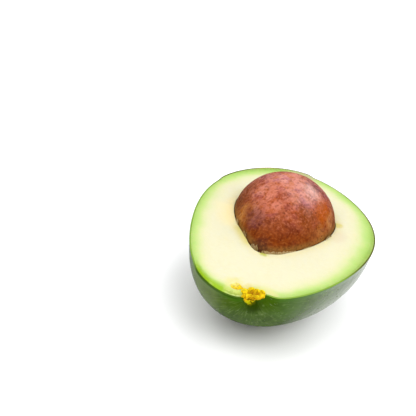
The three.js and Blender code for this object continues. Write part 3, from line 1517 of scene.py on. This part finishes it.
@dataclass
class Skin:
    """The peel: a thin bowl with a pebbled outside, a clean cut edge and strewn corky dots."""

    fruit: FruitForm
    cut: CutForm
    stem: Point
    sides: int = 384
    inner_rings: int = 18
    outer_rings: int = 112
    crowding: float = 1.35
    pebble: float = 2.6 * MM
    pebble_depth: float = 0.12 * MM
    pebble_octaves: int = 2
    dent: float = 17 * MM
    dent_depth: float = 0.35 * MM
    smooth_rim: float = 2.5 * MM
    edge_shares: tuple[float, ...] = (1.0, 0.94, 0.7, 0.4, 0.12, 0.0)
    outer_edge_tint: float = 0.4
    brown_where: Stretch = Stretch(85.0, 235.0, 25.0)
    wax_where: Stretch = Stretch(65.0, 235.0, 45.0)
    least_wax: float = 0.19
    left_wax: float = 0.4
    left_where: Stretch = Stretch(250.0, 345.0, 15.0)
    matt_rim: float = 3 * MM
    matt_fade: float = 9 * MM
    matt_where: Stretch = Stretch(352.0, 410.0, 15.0)
    bevel_shade: float = 0.8 * MM
    dots_above: float = 1.5 * MM
    dots: Bits = Bits(per_square_mm=0.09, half_sizes_mm=(0.6, 0.17, 0.06), smallest=0.35, seed=11)

    def mesh(self) -> bpy.types.Mesh:
        """Builds the peel from the middle of its inside, over the cut edge, to the middle of its underside.

        Returns:
            A closed mesh.
        """
        turn = even_turns(self.sides)
        stack = RingStack(self.sides)
        self._inside(stack, turn)
        self._cut_edge(stack, turn)
        self._outside(stack, turn)
        return stack.mesh(Piece.SKIN.value)

    def _inside(self, stack: RingStack, turn: np.ndarray) -> None:
        """Adds the inner face's rings, from the bottom up.

        Args:
            stack: Takes the rings.
            turn: Direction of each point of a ring.
        """
        start = self.cut.edge_dip(turn, self.cut.edge_thickness)
        for share in np.linspace(1, 0, self.inner_rings, endpoint=False):
            inset = self.cut.inner_inset(share)
            dip = start + (QUARTER_TURN - start) * share
            stack.add(self.fruit.surface(turn, dip, inset, inset))

    def _cut_edge(self, stack: RingStack, turn: np.ndarray) -> None:
        """Adds the cut edge's rings, from the inside out.

        Args:
            stack: Takes the rings.
            turn: Direction of each point of a ring.
        """
        brown = self.brown_where.at(turn)
        bevel = self.cut.bevel(turn)
        for share in self.edge_shares:
            depth = self.cut.edge_thickness * share
            ring = self.fruit.surface(turn, self.cut.edge_dip(turn, depth), depth)
            # bevel marks painted shade on the cut edge along the bevel
            stack.add(ring, cut_edge=1.0 if share else self.outer_edge_tint, brown_edge=brown, bevel=bevel)

    def _outside(self, stack: RingStack, turn: np.ndarray) -> None:
        """Adds the pebbled outside's rings, from the cut down.

        Args:
            stack: Takes the rings.
            turn: Direction of each point of a ring.
        """
        start = self.cut.edge_dip(turn, 0.0)
        for step in range(1, self.outer_rings + 1):
            share = (step / self.outer_rings) ** self.crowding
            dip = start + (QUARTER_TURN - start) * share
            smooth = self.fruit.surface(turn, dip)
            pebbles = self.pebble_depth * rough_share(smooth, self.pebble, self.pebble_octaves)
            dents = self.dent_depth * rough_share(smooth, self.dent)
            below = self.fruit.radius * (dip - start)
            settled = smooth_step(0, self.smooth_rim, below)
            ring = self.fruit.surface(turn, dip, np.clip(pebbles + dents, 0, None) * settled)
            room = settled * (ring[:, 2] > self.dots_above)
            # Painted shade just under the bevel, carried as bevel
            shadowed = self.cut.bevel(turn) * smooth_step(self.bevel_shade, 0, below)
            stack.add(ring, below_rim=below / MM, room=room, wax=self.wax(turn, below), bevel=shadowed)

    def wax(self, turn: np.ndarray, below: np.ndarray) -> np.ndarray:
        """How waxy the outside is: most on one side, and matt under part of the rim.

        Args:
            turn: Direction round the half.
            below: Distance down from the rim.

        Returns:
            The values, from 0 to 1.
        """
        matt = self.matt_where.at(turn) * smooth_step(self.matt_fade, self.matt_rim, below)
        left = self.left_wax * self.left_where.at(turn)
        return np.maximum.reduce([self.wax_where.at(turn), self.least_wax * (1 - matt), left])

    def build(self, effects: SharedEffects, scatter: Scatter) -> None:
        """Builds and dresses the peel and its dots.

        Args:
            effects: The shared shader groups.
            scatter: The tree that strews the dots.
        """
        mesh = self.mesh()
        dots = scatter.strew(mesh, CORKY_DOTS.material(effects), "skin_flecks", self.dots, self.stem)
        peel = place(mesh, SkinFinish().material(effects, self.stem), Piece.SKIN.value + "_peel")
        dress(peel, Piece.SKIN, stands_for=True)
        dress(dots, Piece.SKIN, stands_for=False)


@dataclass
class Flesh:
    """The flesh: level at the cut, with the hollow that the seed sits in and a notch for the stem plug."""

    fruit: FruitForm
    cut: CutForm
    seed: SeedForm
    sides: int = 384
    hollow_rings: int = 26
    top_rings: int = 96
    wall_rings: int = 14
    outline_points: int = 3000
    gap: float = 0.04 * MM
    wide_gap: float = 1.1 * MM
    wide_gap_where: Bump = Bump(347.0, 28.0)
    next_gap: float = 0.45
    next_gap_where: Bump = Bump(24.0, 9.0)
    gap_unevenness: float = 0.35
    gap_wave: float = 0.12
    gap_octaves: int = 2
    lip_rise: float = 0.9 * MM
    lip_rise_where: Bump = Bump(318.0, 20.0)
    lip_rise_reach: float = 2.4 * MM
    least_lip: float = 0.08 * MM
    wide_lip: float = 0.35 * MM
    lip_lean: float = 0.3
    lip_shade: float = 0.2 * MM
    least_lip_shade: float = 0.2
    bevel_tint: Span = (1.05, 0.45)
    # Darker, wider green towards the rim: painted shade on the right where the cut face rounds down to the
    # skin, and darker near the rim at 205 degrees too
    dark_rim: float = 1.15 * MM
    dark_rim_where: tuple[Bump, ...] = (Bump(95.0, 25.0), Bump(205.0, 25.0))
    wide_green: float = 0.35
    wide_green_where: Bump = Bump(100.0, 40.0)
    narrow_green: float = 0.15
    skin_contact: float = 0.02 * MM
    deep_mm: float = 30.0

    def openness(self, turn: np.ndarray) -> np.ndarray:
        """How far the flesh stands off the seed in a direction, from 0 to 1."""
        return np.maximum(self.wide_gap_where.at(turn), self.next_gap * self.next_gap_where.at(turn))

    def lip_round(self, turn: np.ndarray) -> np.ndarray:
        """How much the hollow's edge is rounded in a direction."""
        return self.least_lip + (self.wide_lip - self.least_lip) * self.openness(turn)

    def lip_height(self, turn: np.ndarray) -> np.ndarray:
        """Height of the hollow's edge in a direction; on one side the flesh clings to the seed."""
        return self.fruit.cut_height + self.lip_rise * self.lip_rise_where.at(turn)

    def hollow_growth(self, turn: np.ndarray) -> np.ndarray:
        """Works out the gap between the seed and the hollow, which is wider on one side, and uneven.

        Args:
            turn: Direction round the seed.

        Returns:
            The gaps.
        """
        uneven = self.gap_unevenness * noise_at(unit_circle(turn), self.gap_wave, self.gap_octaves)
        return self.gap + self.wide_gap * self.openness(turn) * (1 + uneven)

    def mesh(self) -> bpy.types.Mesh:
        """Builds the flesh from the bottom of the hollow, over the cut face, to the middle of its underside.

        Returns:
            A closed mesh.
        """
        turn = even_turns(self.sides)
        stack = RingStack(self.sides)
        lip = self._hollow(stack, turn)
        self._top(stack, turn, lip)
        self._wall(stack, turn)
        return stack.mesh(Piece.FLESH.value)

    def _hollow(self, stack: RingStack, turn: np.ndarray) -> np.ndarray:
        """Adds the hollow's rings from its bottom up.

        Args:
            stack: Takes the rings.
            turn: Direction of each point of a ring.

        Returns:
            The ring at the cut.
        """
        grow = self.hollow_growth(turn)
        lip = self.lip_round(turn)
        top = self.seed.rise_at(turn, self.lip_height(turn) - lip)
        for share in np.linspace(0, 1, self.hollow_rings):
            rise = -QUARTER_TURN + (top + QUARTER_TURN) * share
            ring = self.seed.surface(self.seed.direction(turn, rise), grow)
            # The whole hollow takes the hollow colour: partly stain, partly painted shade in the gap
            stack.add(ring, rim_mm=self.deep_mm, hollow=1.0)
        level = self.seed.rise_at(turn, self.lip_height(turn))
        return self.seed.surface(self.seed.direction(turn, level), grow + self.lip_lean * lip)

    def _top(self, stack: RingStack, turn: np.ndarray, lip: np.ndarray) -> None:
        """Adds the cut face's rings from the hollow out to the skin.

        Args:
            stack: Takes the rings.
            turn: Direction of each point of a ring.
            lip: The ring at the hollow's edge.
        """
        outline = self.fruit.surface(even_turns(self.outline_points), 0.0)
        inset = self.cut.edge_thickness + self.skin_contact
        rim = self.fruit.surface(turn, self.cut.edge_dip(turn, inset), inset)
        steps = np.linspace(0, math.pi, self.top_rings)
        soft = self.lip_round(turn)
        level = self.fruit.cut_height
        green = 1 + self.wide_green * self.wide_green_where.at(turn)
        green -= self.narrow_green * self.cut.bevel(turn)
        darker = self.dark_rim * sum(where.at(turn) for where in self.dark_rim_where)
        shade = self.least_lip_shade + (1 - self.least_lip_shade) * self.openness(turn)
        for share in (1 - np.cos(steps)) / 2:
            ring = lip + (rim - lip) * share
            depth = distance_to(outline, ring)
            from_seed = distance_to(lip, ring)
            fall = self.cut.drop(turn, depth, ring)
            rounded = soft * np.exp(-((from_seed / soft) ** 2))
            clings = np.exp(-((from_seed / self.lip_rise_reach) ** 2))
            ring[:, 2] = level - fall - rounded + (lip[:, 2] - level) * clings
            down_bevel = smooth_step(*self.bevel_tint, depth / self.cut.bevel_reach(turn))
            bevel = self.cut.bevel(turn) * down_bevel
            # Painted shade along the hollow's edge, strongest where the gap is open
            hollow = shade * np.exp(-from_seed / self.lip_shade)
            # Painted shade: the green shifted towards the rim on the right
            rim_mm = (depth - darker) / MM / green
            stack.add(ring, rim_mm=rim_mm, seed_mm=from_seed / MM, hollow=hollow, bevel=bevel)

    def _wall(self, stack: RingStack, turn: np.ndarray) -> None:
        """Adds the rings that lie against the skin, from the cut down.

        Args:
            stack: Takes the rings.
            turn: Direction of each point of a ring.
        """
        inset = self.cut.edge_thickness + self.skin_contact
        start = self.cut.edge_dip(turn, inset)
        bevel = self.cut.bevel(turn)
        for share in np.linspace(0, 1, self.wall_rings + 1)[1:]:
            depth = self.cut.inner_inset(share) + self.skin_contact
            dip = start + (QUARTER_TURN - start) * share
            ring = self.fruit.surface(turn, dip, depth, depth)
            stack.add(ring, rim_mm=depth / MM, seed_mm=self.deep_mm, bevel=bevel)

    def build(self, effects: SharedEffects) -> None:
        """Builds and dresses the flesh.

        Args:
            effects: The shared shader groups.
        """
        material = FleshFinish().material(effects)
        dress(place(self.mesh(), material, Piece.FLESH.value + "_cut"), Piece.FLESH, stands_for=True)


@dataclass(frozen=True)
class CoatFlap:
    """One torn strip of papery coat that clings to the seed where it leaves the flesh."""

    start_deg: float
    end_deg: float
    height_mm: float
    curl_mm: float


@dataclass
class Seed:
    """The seed, slightly uneven, with torn strips of papery coat round its foot."""

    form: SeedForm
    cut_height: float
    divisions: int = 7
    lump: float = 11 * MM
    lump_depth: float = 0.45 * MM
    wrinkle: float = 1.6 * MM
    wrinkle_depth: float = 0.07 * MM
    wrinkle_octaves: int = 3
    strip_sides: int = 9
    strip_step_deg: float = 0.4
    strip_foot: float = 1.4 * MM
    strip_half_thickness: float = 0.05 * MM
    strip_end_share: float = 0.02
    strip_height_share: float = 0.65
    tear_share: float = 0.7
    tear_wave: float = 0.05
    tear_octaves: int = 4
    curl_power: int = 3
    flake_power: int = 2
    flakes: Bits = Bits(per_square_mm=1.2, half_sizes_mm=(0.3, 0.16, 0.05), smallest=0.3, seed=1)
    flaps: tuple[CoatFlap, ...] = (
        CoatFlap(-2, 48, 0.75, 0.10),
        CoatFlap(-23, -8, 1.3, 0.35),
        CoatFlap(-47, -34, 2.1, 0.35),
        CoatFlap(-68, -57, 1.8, 0.45),
        CoatFlap(55, 67, 0.4, 0.12),
        CoatFlap(84, 94, 1.7, 0.7),
    )

    def mesh(self) -> bpy.types.Mesh:
        """Builds the seed from an even ball, every point at or inside the plain egg.

        Returns:
            A closed mesh.
        """
        work = bmesh.new()
        bmesh.ops.create_icosphere(work, subdivisions=self.divisions, radius=1)
        mesh = bpy.data.meshes.new(Piece.SEED.value)
        work.to_mesh(mesh)
        work.free()
        direction = points_of(mesh)
        direction /= np.linalg.norm(direction, axis=1, keepdims=True)
        smooth = self.form.surface(direction)
        lumps = self.lump_depth * np.clip(rough_share(smooth, self.lump), 0, 1)
        wrinkled = np.clip(rough_share(smooth, self.wrinkle, self.wrinkle_octaves), 0, 1)
        move_points(mesh, self.form.surface(direction, -lumps - self.wrinkle_depth * wrinkled))
        close_and_smooth(mesh)
        return mesh

    def coat_mesh(self, flap: CoatFlap) -> bpy.types.Mesh:
        """Builds one strip of coat as a thin closed ribbon with a ragged upper edge.

        Args:
            flap: The strip.

        Returns:
            A closed mesh that carries room for flakes.
        """
        up = np.linspace(0, 1, self.strip_sides)
        side = np.concatenate([np.ones(self.strip_sides), -np.ones(self.strip_sides)])
        climb = np.concatenate([up, up[::-1]])
        stack = RingStack(2 * self.strip_sides)
        turns = np.radians(np.arange(flap.start_deg, flap.end_deg, self.strip_step_deg))
        tear = noise_at(unit_circle(turns), self.tear_wave, self.tear_octaves, flap.start_deg)
        for i, turn in enumerate(turns):
            fade = math.sqrt(math.sin(math.pi * i / (len(turns) - 1)))
            tall = flap.height_mm * MM * fade * (self.strip_height_share + self.tear_share * tear[i])
            height = self.cut_height - self.strip_foot + climb * (self.strip_foot + tall)
            ring_turn = np.full_like(height, turn)
            curl = flap.curl_mm * MM * climb**self.curl_power * (1 + tear[i])
            grow = side * self.strip_half_thickness * (fade + self.strip_end_share) + curl
            rise = self.form.rise_at(ring_turn, height)
            ring = self.form.surface(self.form.direction(ring_turn, rise), grow)
            stack.add(ring, room=climb**self.flake_power)
        return stack.mesh("seed_coat")

    def build(self, effects: SharedEffects, scatter: Scatter) -> None:
        """Builds and dresses the seed, its coat strips and their flakes.

        Args:
            effects: The shared shader groups.
            scatter: The tree that strews the flakes.
        """
        seed = place(self.mesh(), SeedFinish().material(effects), Piece.SEED.value + "_whole")
        dress(seed, Piece.SEED, stands_for=True)
        papery = CoatFinish().material(effects)
        for number, flap in enumerate(self.flaps, 1):
            mesh = self.coat_mesh(flap)
            name = f"seed_coat_{number}"
            bits = replace(self.flakes, seed=number)
            flakes = scatter.strew(mesh, papery, name + "_flakes", bits, self.form.centre)
            dress(place(mesh, papery, name), Piece.SEED, stands_for=False)
            dress(flakes, Piece.SEED, stands_for=False)


@dataclass(frozen=True)
class Lumps:
    """One cluster of torn lumps: how many, how large, and how far those at the cut are sunk under it."""

    count: int
    size: float
    sunk_mm: Span = (0.0, 0.0)


@dataclass
class StemPlug:
    """The dried plug: a ring of torn lumps round two pits, a tongue down the skin, a lobe and crumbs."""

    form: PlugForm
    fruit: FruitForm
    draw_seed: int = 5
    ring: Lumps = Lumps(30, 1.0, (0.1, 0.5))
    ridge: Lumps = Lumps(5, 0.8, (0.5, 0.7))
    lobe: Lumps = Lumps(26, 0.7, (0.2, 0.5))
    bridge: Lumps = Lumps(7, 0.6, (0.3, 0.4))
    tongue: Lumps = Lumps(60, 0.8)
    lump_radius: Span = (0.4 * MM, 0.8 * MM)
    lump_stretch: Point = (1.4, 0.75, 0.8)
    lump_divisions: int = 3
    button_share: float = 0.95
    button_fullness: float = 0.4
    button_divisions: int = 5
    bowl: float = 0.55 * MM
    least_voxels: int = 2
    pad_share: float = 0.85
    pad_half_height: float = 0.35 * MM
    pad_sunk: float = 0.5 * MM
    pad_divisions: int = 4
    ring_out: Span = (0.7, 0.95)
    ridge_across: float = 0.12
    ridge_wander: float = 0.08
    ridge_along: float = 0.7
    lobe_out: float = 0.75
    bridge_span: Span = (0.52, 0.74)
    tongue_deg: float = 10.5
    tongue_sides_deg: Span = (-4.0, 6.0)
    tongue_narrowing: float = 1.5
    tongue_top: float = 0.12
    tongue_drop: float = 3.8 * MM
    tongue_inset: float = 0.25 * MM
    voxel: float = 0.13 * MM
    fibre: float = 0.9 * MM
    fibre_stretch: Point = (1.0, 0.55, 1.0)
    fibre_octaves: int = 3
    fibre_depth: float = 0.3 * MM
    fibre_width: float = 0.3
    fibre_bulge: float = 0.35
    crack_width: float = 0.16
    open_air: Span = (-3.0 * MM, -0.5 * MM)
    pit_depth: Span = (-0.15 * MM, -0.5 * MM)
    pit_reach: Span = (0.8, 0.5)
    crumbs: Bits = Bits(per_square_mm=1.4, half_sizes_mm=(0.3, 0.15, 0.12), smallest=0.3, seed=3)

    @staticmethod
    def _add_ball(work: bmesh.types.BMesh, divisions: int, shape: Callable[[Vector], Point]) -> None:
        """Adds a ball of some other shape.

        Args:
            work: Takes the ball.
            divisions: How finely it is divided.
            shape: Where the ball's point in each unit direction goes.
        """
        made = bmesh.ops.create_icosphere(work, subdivisions=divisions, radius=1)
        for vert in made["verts"]:
            vert.co = shape(vert.co.normalized())

    def _button(self, direction: Vector) -> Point:
        """A point of the button: a shallow bowl above, the notch below.

        Args:
            direction: Unit vector from its middle.

        Returns:
            The point in the part's frame.
        """
        level = math.hypot(direction.x, direction.y)
        fuller = self.button_share * level**-self.button_fullness if level else 0.0
        x, y = self.form.at(direction.x * fuller, direction.y * fuller)
        if direction.z > 0:
            return (x, y, self.form.centre[2] - self.bowl * (1 - level))
        below = self.form.depth(np.array([[x, y, 0.0]]))[0]
        return (x, y, self.form.centre[2] - max(below, self.bowl + self.least_voxels * self.voxel))

    def _lobe_pad(self, direction: Vector) -> Point:
        """A point of the flat pad that the lobe's lumps sit on.

        Args:
            direction: Unit vector from its middle.

        Returns:
            The point in the part's frame.
        """
        radius = self.pad_share * self.form.lobe_radius
        x, y = self.form.in_lobe(radius * direction.x, radius * direction.y)
        return (x, y, self.form.centre[2] + self.pad_half_height * direction.z - self.pad_sunk)

    def _sunk(self, draw: random.Random, lumps: Lumps) -> float:
        """Height of a lump's middle, drawn from its cluster's depths under the cut."""
        return self.form.centre[2] - draw.uniform(*lumps.sunk_mm) * MM

    def _ring_lump(self, draw: random.Random) -> Point:
        """Draws a place on the button's raised edge.

        Args:
            draw: The draws.

        Returns:
            The place.
        """
        spin = draw.uniform(0, FULL_TURN)
        out = draw.uniform(*self.ring_out)
        x, y = self.form.at(out * math.sin(spin), out * math.cos(spin))
        return (x, y, self._sunk(draw, self.ring))

    def _ridge_lump(self, draw: random.Random) -> Point:
        """Draws a place on the ridge between the two pits.

        Args:
            draw: The draws.

        Returns:
            The place.
        """
        across = self.ridge_across + draw.uniform(-self.ridge_wander, self.ridge_wander)
        x, y = self.form.at(across, draw.uniform(-self.ridge_along, self.ridge_along))
        return (x, y, self._sunk(draw, self.ridge))

    def _lobe_lump(self, draw: random.Random) -> Point:
        """Draws a place on the lobe.

        Args:
            draw: The draws.

        Returns:
            The place.
        """
        spin = draw.uniform(0, FULL_TURN)
        out = self.form.lobe_radius * self.lobe_out * math.sqrt(draw.random())
        x, y = self.form.in_lobe(out * math.sin(spin), out * math.cos(spin))
        return (x, y, self._sunk(draw, self.lobe))

    def _bridge_lump(self, draw: random.Random) -> Point:
        """Draws a place on the thin bridge between the lobe and the button.

        Args:
            draw: The draws.

        Returns:
            The place.
        """
        share = draw.uniform(*self.bridge_span)
        x = self.form.centre[0] + self.form.lobe_side * share
        y = self.form.centre[1] + self.form.lobe_along * share
        return (x, y, self._sunk(draw, self.bridge))

    def _tongue_lump(self, draw: random.Random) -> Point:
        """Draws a place on the tongue, which narrows downwards over the skin.

        Args:
            draw: The draws.

        Returns:
            The place.
        """
        down = draw.random()
        aside = draw.uniform(*self.tongue_sides_deg) * (1 - down**self.tongue_narrowing)
        turn = np.radians([self.tongue_deg + aside])
        dip = self.fruit.dip_at(self.tongue_drop * (self.tongue_top + (1 - self.tongue_top) * down))
        return tuple(self.fruit.surface(turn, dip, self.tongue_inset)[0])

    def _add_lump(self, work: bmesh.types.BMesh, draw: random.Random, middle: Point, size: float) -> None:
        """Adds one lump, longer one way than the others.

        Args:
            work: Takes the lump.
            draw: The draws.
            middle: Its middle.
            size: Its size as a share of a large lump's.
        """
        radius = size * draw.uniform(*self.lump_radius)
        spin = Matrix.Rotation(draw.uniform(0, FULL_TURN), 4, "Z")
        turned = Matrix.Translation(middle) @ spin @ Matrix.Diagonal((*self.lump_stretch, 1.0))
        self._add_ball(work, self.lump_divisions, lambda d: tuple(turned @ (d * radius)))

    def mesh(self) -> bpy.types.Mesh:
        """Grows the button and the lumps together and roughens the whole.

        Returns:
            A closed mesh that carries its hollowness and room for crumbs.
        """
        work = bmesh.new()
        self._add_ball(work, self.button_divisions, self._button)
        self._add_ball(work, self.pad_divisions, self._lobe_pad)
        draw = random.Random(self.draw_seed)
        clusters = (
            (self.ring, self._ring_lump),
            (self.ridge, self._ridge_lump),
            (self.lobe, self._lobe_lump),
            (self.bridge, self._bridge_lump),
            (self.tongue, self._tongue_lump),
        )
        for lumps, where in clusters:
            for _ in range(lumps.count):
                self._add_lump(work, draw, where(draw), lumps.size)
        raw = bpy.data.meshes.new("stem_plug_lumps")
        work.to_mesh(raw)
        work.free()
        helper = bpy.data.objects.new("stem_plug_lumps", raw)
        bpy.context.scene.collection.objects.link(helper)
        join = helper.modifiers.new("grow_together", "REMESH")
        join.mode = "VOXEL"
        join.voxel_size = self.voxel
        mesh = evaluated_mesh(helper, Piece.STEM_PLUG.value)
        self._roughen(mesh)
        return mesh

    def _roughen(self, mesh: bpy.types.Mesh) -> None:
        """Pushes the surface in along torn fibres, most on top and in front.

        Args:
            mesh: The plug, which is changed.
        """
        points = points_of(mesh)
        over_cut = points[:, 2] - self.form.centre[2]
        torn = np.abs(noise_at(points * np.array(self.fibre_stretch), self.fibre, self.fibre_octaves))
        open_air = smooth_step(*self.open_air, over_cut)
        push = (smooth_step(self.fibre_width, 0, torn) - self.fibre_bulge) * self.fibre_depth * open_air
        move_points(mesh, points - normals_of(mesh) * push[:, None])
        pits = smooth_step(*self.pit_depth, over_cut)
        pits *= smooth_step(*self.pit_reach, np.hypot(*self.form.askew(points)))
        cracks = smooth_step(self.crack_width, 0, torn) * open_air
        carry(mesh, "hollowness", np.maximum(cracks, pits))
        carry(mesh, "room", open_air)
        mesh.shade_smooth()

    def build(self, effects: SharedEffects, scatter: Scatter) -> None:
        """Builds and dresses the plug and its crumbs.

        Args:
            effects: The shared shader groups.
            scatter: The tree that strews the crumbs.
        """
        mesh = self.mesh()
        material = PlugFinish().material(effects)
        crumbs = scatter.strew(mesh, material, "stem_plug_crumbs", self.crumbs, self.form.centre)
        dress(place(mesh, material, "stem_plug_torn"), Piece.STEM_PLUG, stands_for=True)
        dress(crumbs, Piece.STEM_PLUG, stands_for=False)


@dataclass(frozen=True)
class SoftLight:
    """One large soft lamp that points at the fruit."""

    name: str
    place: Point
    side: float
    watts: float


@dataclass
class Studio:
    """White floor, soft lamps, pale surroundings and the camera."""

    aim: Point = (-29.59 * MM, -3.3 * MM, 34.6 * MM)
    camera_place: Point = (39.56 * MM, -264.7 * MM, 190.7 * MM)
    camera_roll_deg: float = 11.0
    focal_px: float = 800.0
    sensor_mm: float = 36.0
    nearest_seen: float = 10 * MM
    floor_radius: float = 5.0
    floor_sides: int = 96
    overhead: Colour = (0.84, 0.85, 0.87, 1.0)
    front_horizon: Colour = (0.25, 0.15, 0.09, 1.0)
    back_horizon: Colour = (0.3, 0.3, 0.3, 1.0)
    front_to_back: Span = (-0.8, 0.8)
    horizon_to_overhead: Span = (0.15, 0.65)
    wall: Colour = (0.9, 0.9, 0.91, 1.0)
    lamps: tuple[SoftLight, ...] = (
        SoftLight("front_right_lamp", (0.48, -0.57, 0.98), 0.7, 6.2),
        SoftLight("front_left_lamp", (-0.44, -0.6, 0.98), 0.7, 5.2),
        SoftLight("right_lamp", (0.9, 0.0, 0.75), 0.7, 2.9),
        SoftLight("back_right_lamp", (0.45, 0.94, 0.78), 0.5, 3.0),
        SoftLight("overhead_lamp", (0.0, 0.1, 1.3), 0.7, 3.2),
    )

    def build(self, effects: SharedEffects) -> None:
        """Builds the floor, the light and the camera.

        Args:
            effects: The shared shader groups.
        """
        self._floor(effects)
        self._surroundings()
        for lamp in self.lamps:
            self._lamp(lamp)
        self._camera()
        bpy.context.scene.view_settings.view_transform = "Standard"

    def _floor(self, effects: SharedEffects) -> None:
        """Adds a round white floor, whose points run so that it faces up.

        Args:
            effects: The shared shader groups.
        """
        ring = unit_circle(-even_turns(self.floor_sides)) * self.floor_radius
        mesh = bpy.data.meshes.new("floor")
        mesh.from_pydata(ring.tolist(), [], [list(range(self.floor_sides))])
        place(mesh, WHITE_TABLETOP.material(effects), "floor")

    def _surroundings(self) -> None:
        """Fills the room with pale light, warmer and dimmer in front of the fruit, and shows a pale wall."""
        world = bpy.data.worlds.new("pale_room")
        world.use_nodes = True
        sheet = NodeSheet(world.node_tree)
        towards = sheet.node("ShaderNodeTexCoord").outputs["Generated"]
        parts = sheet.node("ShaderNodeSeparateXYZ", {0: towards}).outputs
        behind = sheet.ease(parts[1], *self.front_to_back)
        above = sheet.ease(parts[2], *self.horizon_to_overhead)
        light = sheet.mix(above, sheet.mix(behind, self.front_horizon, self.back_horizon), self.overhead)
        watched = sheet.node("ShaderNodeLightPath").outputs["Is Camera Ray"]
        shade = sheet.mix(watched, light, self.wall)
        sheet.feed(world.node_tree.nodes["Background"], {"Color": shade})
        bpy.context.scene.world = world

    def _lamp(self, lamp: SoftLight) -> None:
        """Adds one soft lamp.

        Args:
            lamp: The lamp.
        """
        data = bpy.data.lights.new(lamp.name, "AREA")
        data.energy = lamp.watts
        data.size = lamp.side
        made = bpy.data.objects.new(lamp.name, data)
        made.location = lamp.place
        made.visible_camera = False
        made.rotation_euler = (-Vector(lamp.place)).to_track_quat("-Z", "Y").to_euler()
        bpy.context.scene.collection.objects.link(made)

    def _camera(self) -> None:
        """Adds the camera, which leans to one side by its roll."""
        forward = (Vector(self.aim) - Vector(self.camera_place)).normalized()
        level = forward.cross(Vector((0, 0, 1))).normalized()
        upright = level.cross(forward)
        axes = Matrix((level, upright, -forward)).transposed().to_4x4()
        data = bpy.data.cameras.new("camera")
        data.sensor_width = self.sensor_mm
        data.lens = self.focal_px / IMAGE_SIDE_PX * self.sensor_mm
        data.clip_start = self.nearest_seen
        made = bpy.data.objects.new("camera", data)
        roll = Matrix.Rotation(math.radians(self.camera_roll_deg), 4, "Z")
        made.matrix_world = Matrix.Translation(self.camera_place) @ axes @ roll
        bpy.context.scene.collection.objects.link(made)
        bpy.context.scene.camera = made


@dataclass
class AvocadoHalf:
    """The whole part, placed by the frame's own boxes."""

    seed_side: float = -1.8 * MM
    seed_along: float = 4.1 * MM
    plug_side: float = -0.3 * MM
    plug_along: float = -46.3 * MM
    fruit: FruitForm = field(init=False)
    seed: SeedForm = field(init=False)
    plug: PlugForm = field(init=False)
    cut: CutForm = field(init=False)

    def __post_init__(self) -> None:
        """Works out the forms from the frame."""
        low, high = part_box(Piece.SEED.value)
        centre = (low + high) / 2
        cut_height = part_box(Piece.SKIN.value)[1].z
        self.fruit = FruitForm(cut_height, centre.x - self.seed_side, centre.y - self.seed_along)
        self.seed = SeedForm(tuple(centre))
        plug_x = self.fruit.stem_x + self.plug_side
        self.plug = PlugForm((plug_x, self.plug_along + self.fruit.shift_y, cut_height))
        self.cut = CutForm(self.fruit, self.plug)

    def build(self, effects: SharedEffects) -> None:
        """Builds and dresses every piece.

        Args:
            effects: The shared shader groups.
        """
        scatter = Scatter()
        stem = self.plug.centre
        Skin(self.fruit, self.cut, stem).build(effects, scatter)
        Flesh(self.fruit, self.cut, self.seed).build(effects)
        Seed(self.seed, self.fruit.cut_height).build(effects, scatter)
        StemPlug(self.plug, self.fruit).build(effects, scatter)


def main() -> None:
    """Builds the part and the studio round it."""
    logging.basicConfig(level=logging.INFO, format="%(name)s: %(message)s")
    effects = SharedEffects()
    Studio().build(effects)
    AvocadoHalf().build(effects)


if __name__ == "__main__":
    main()
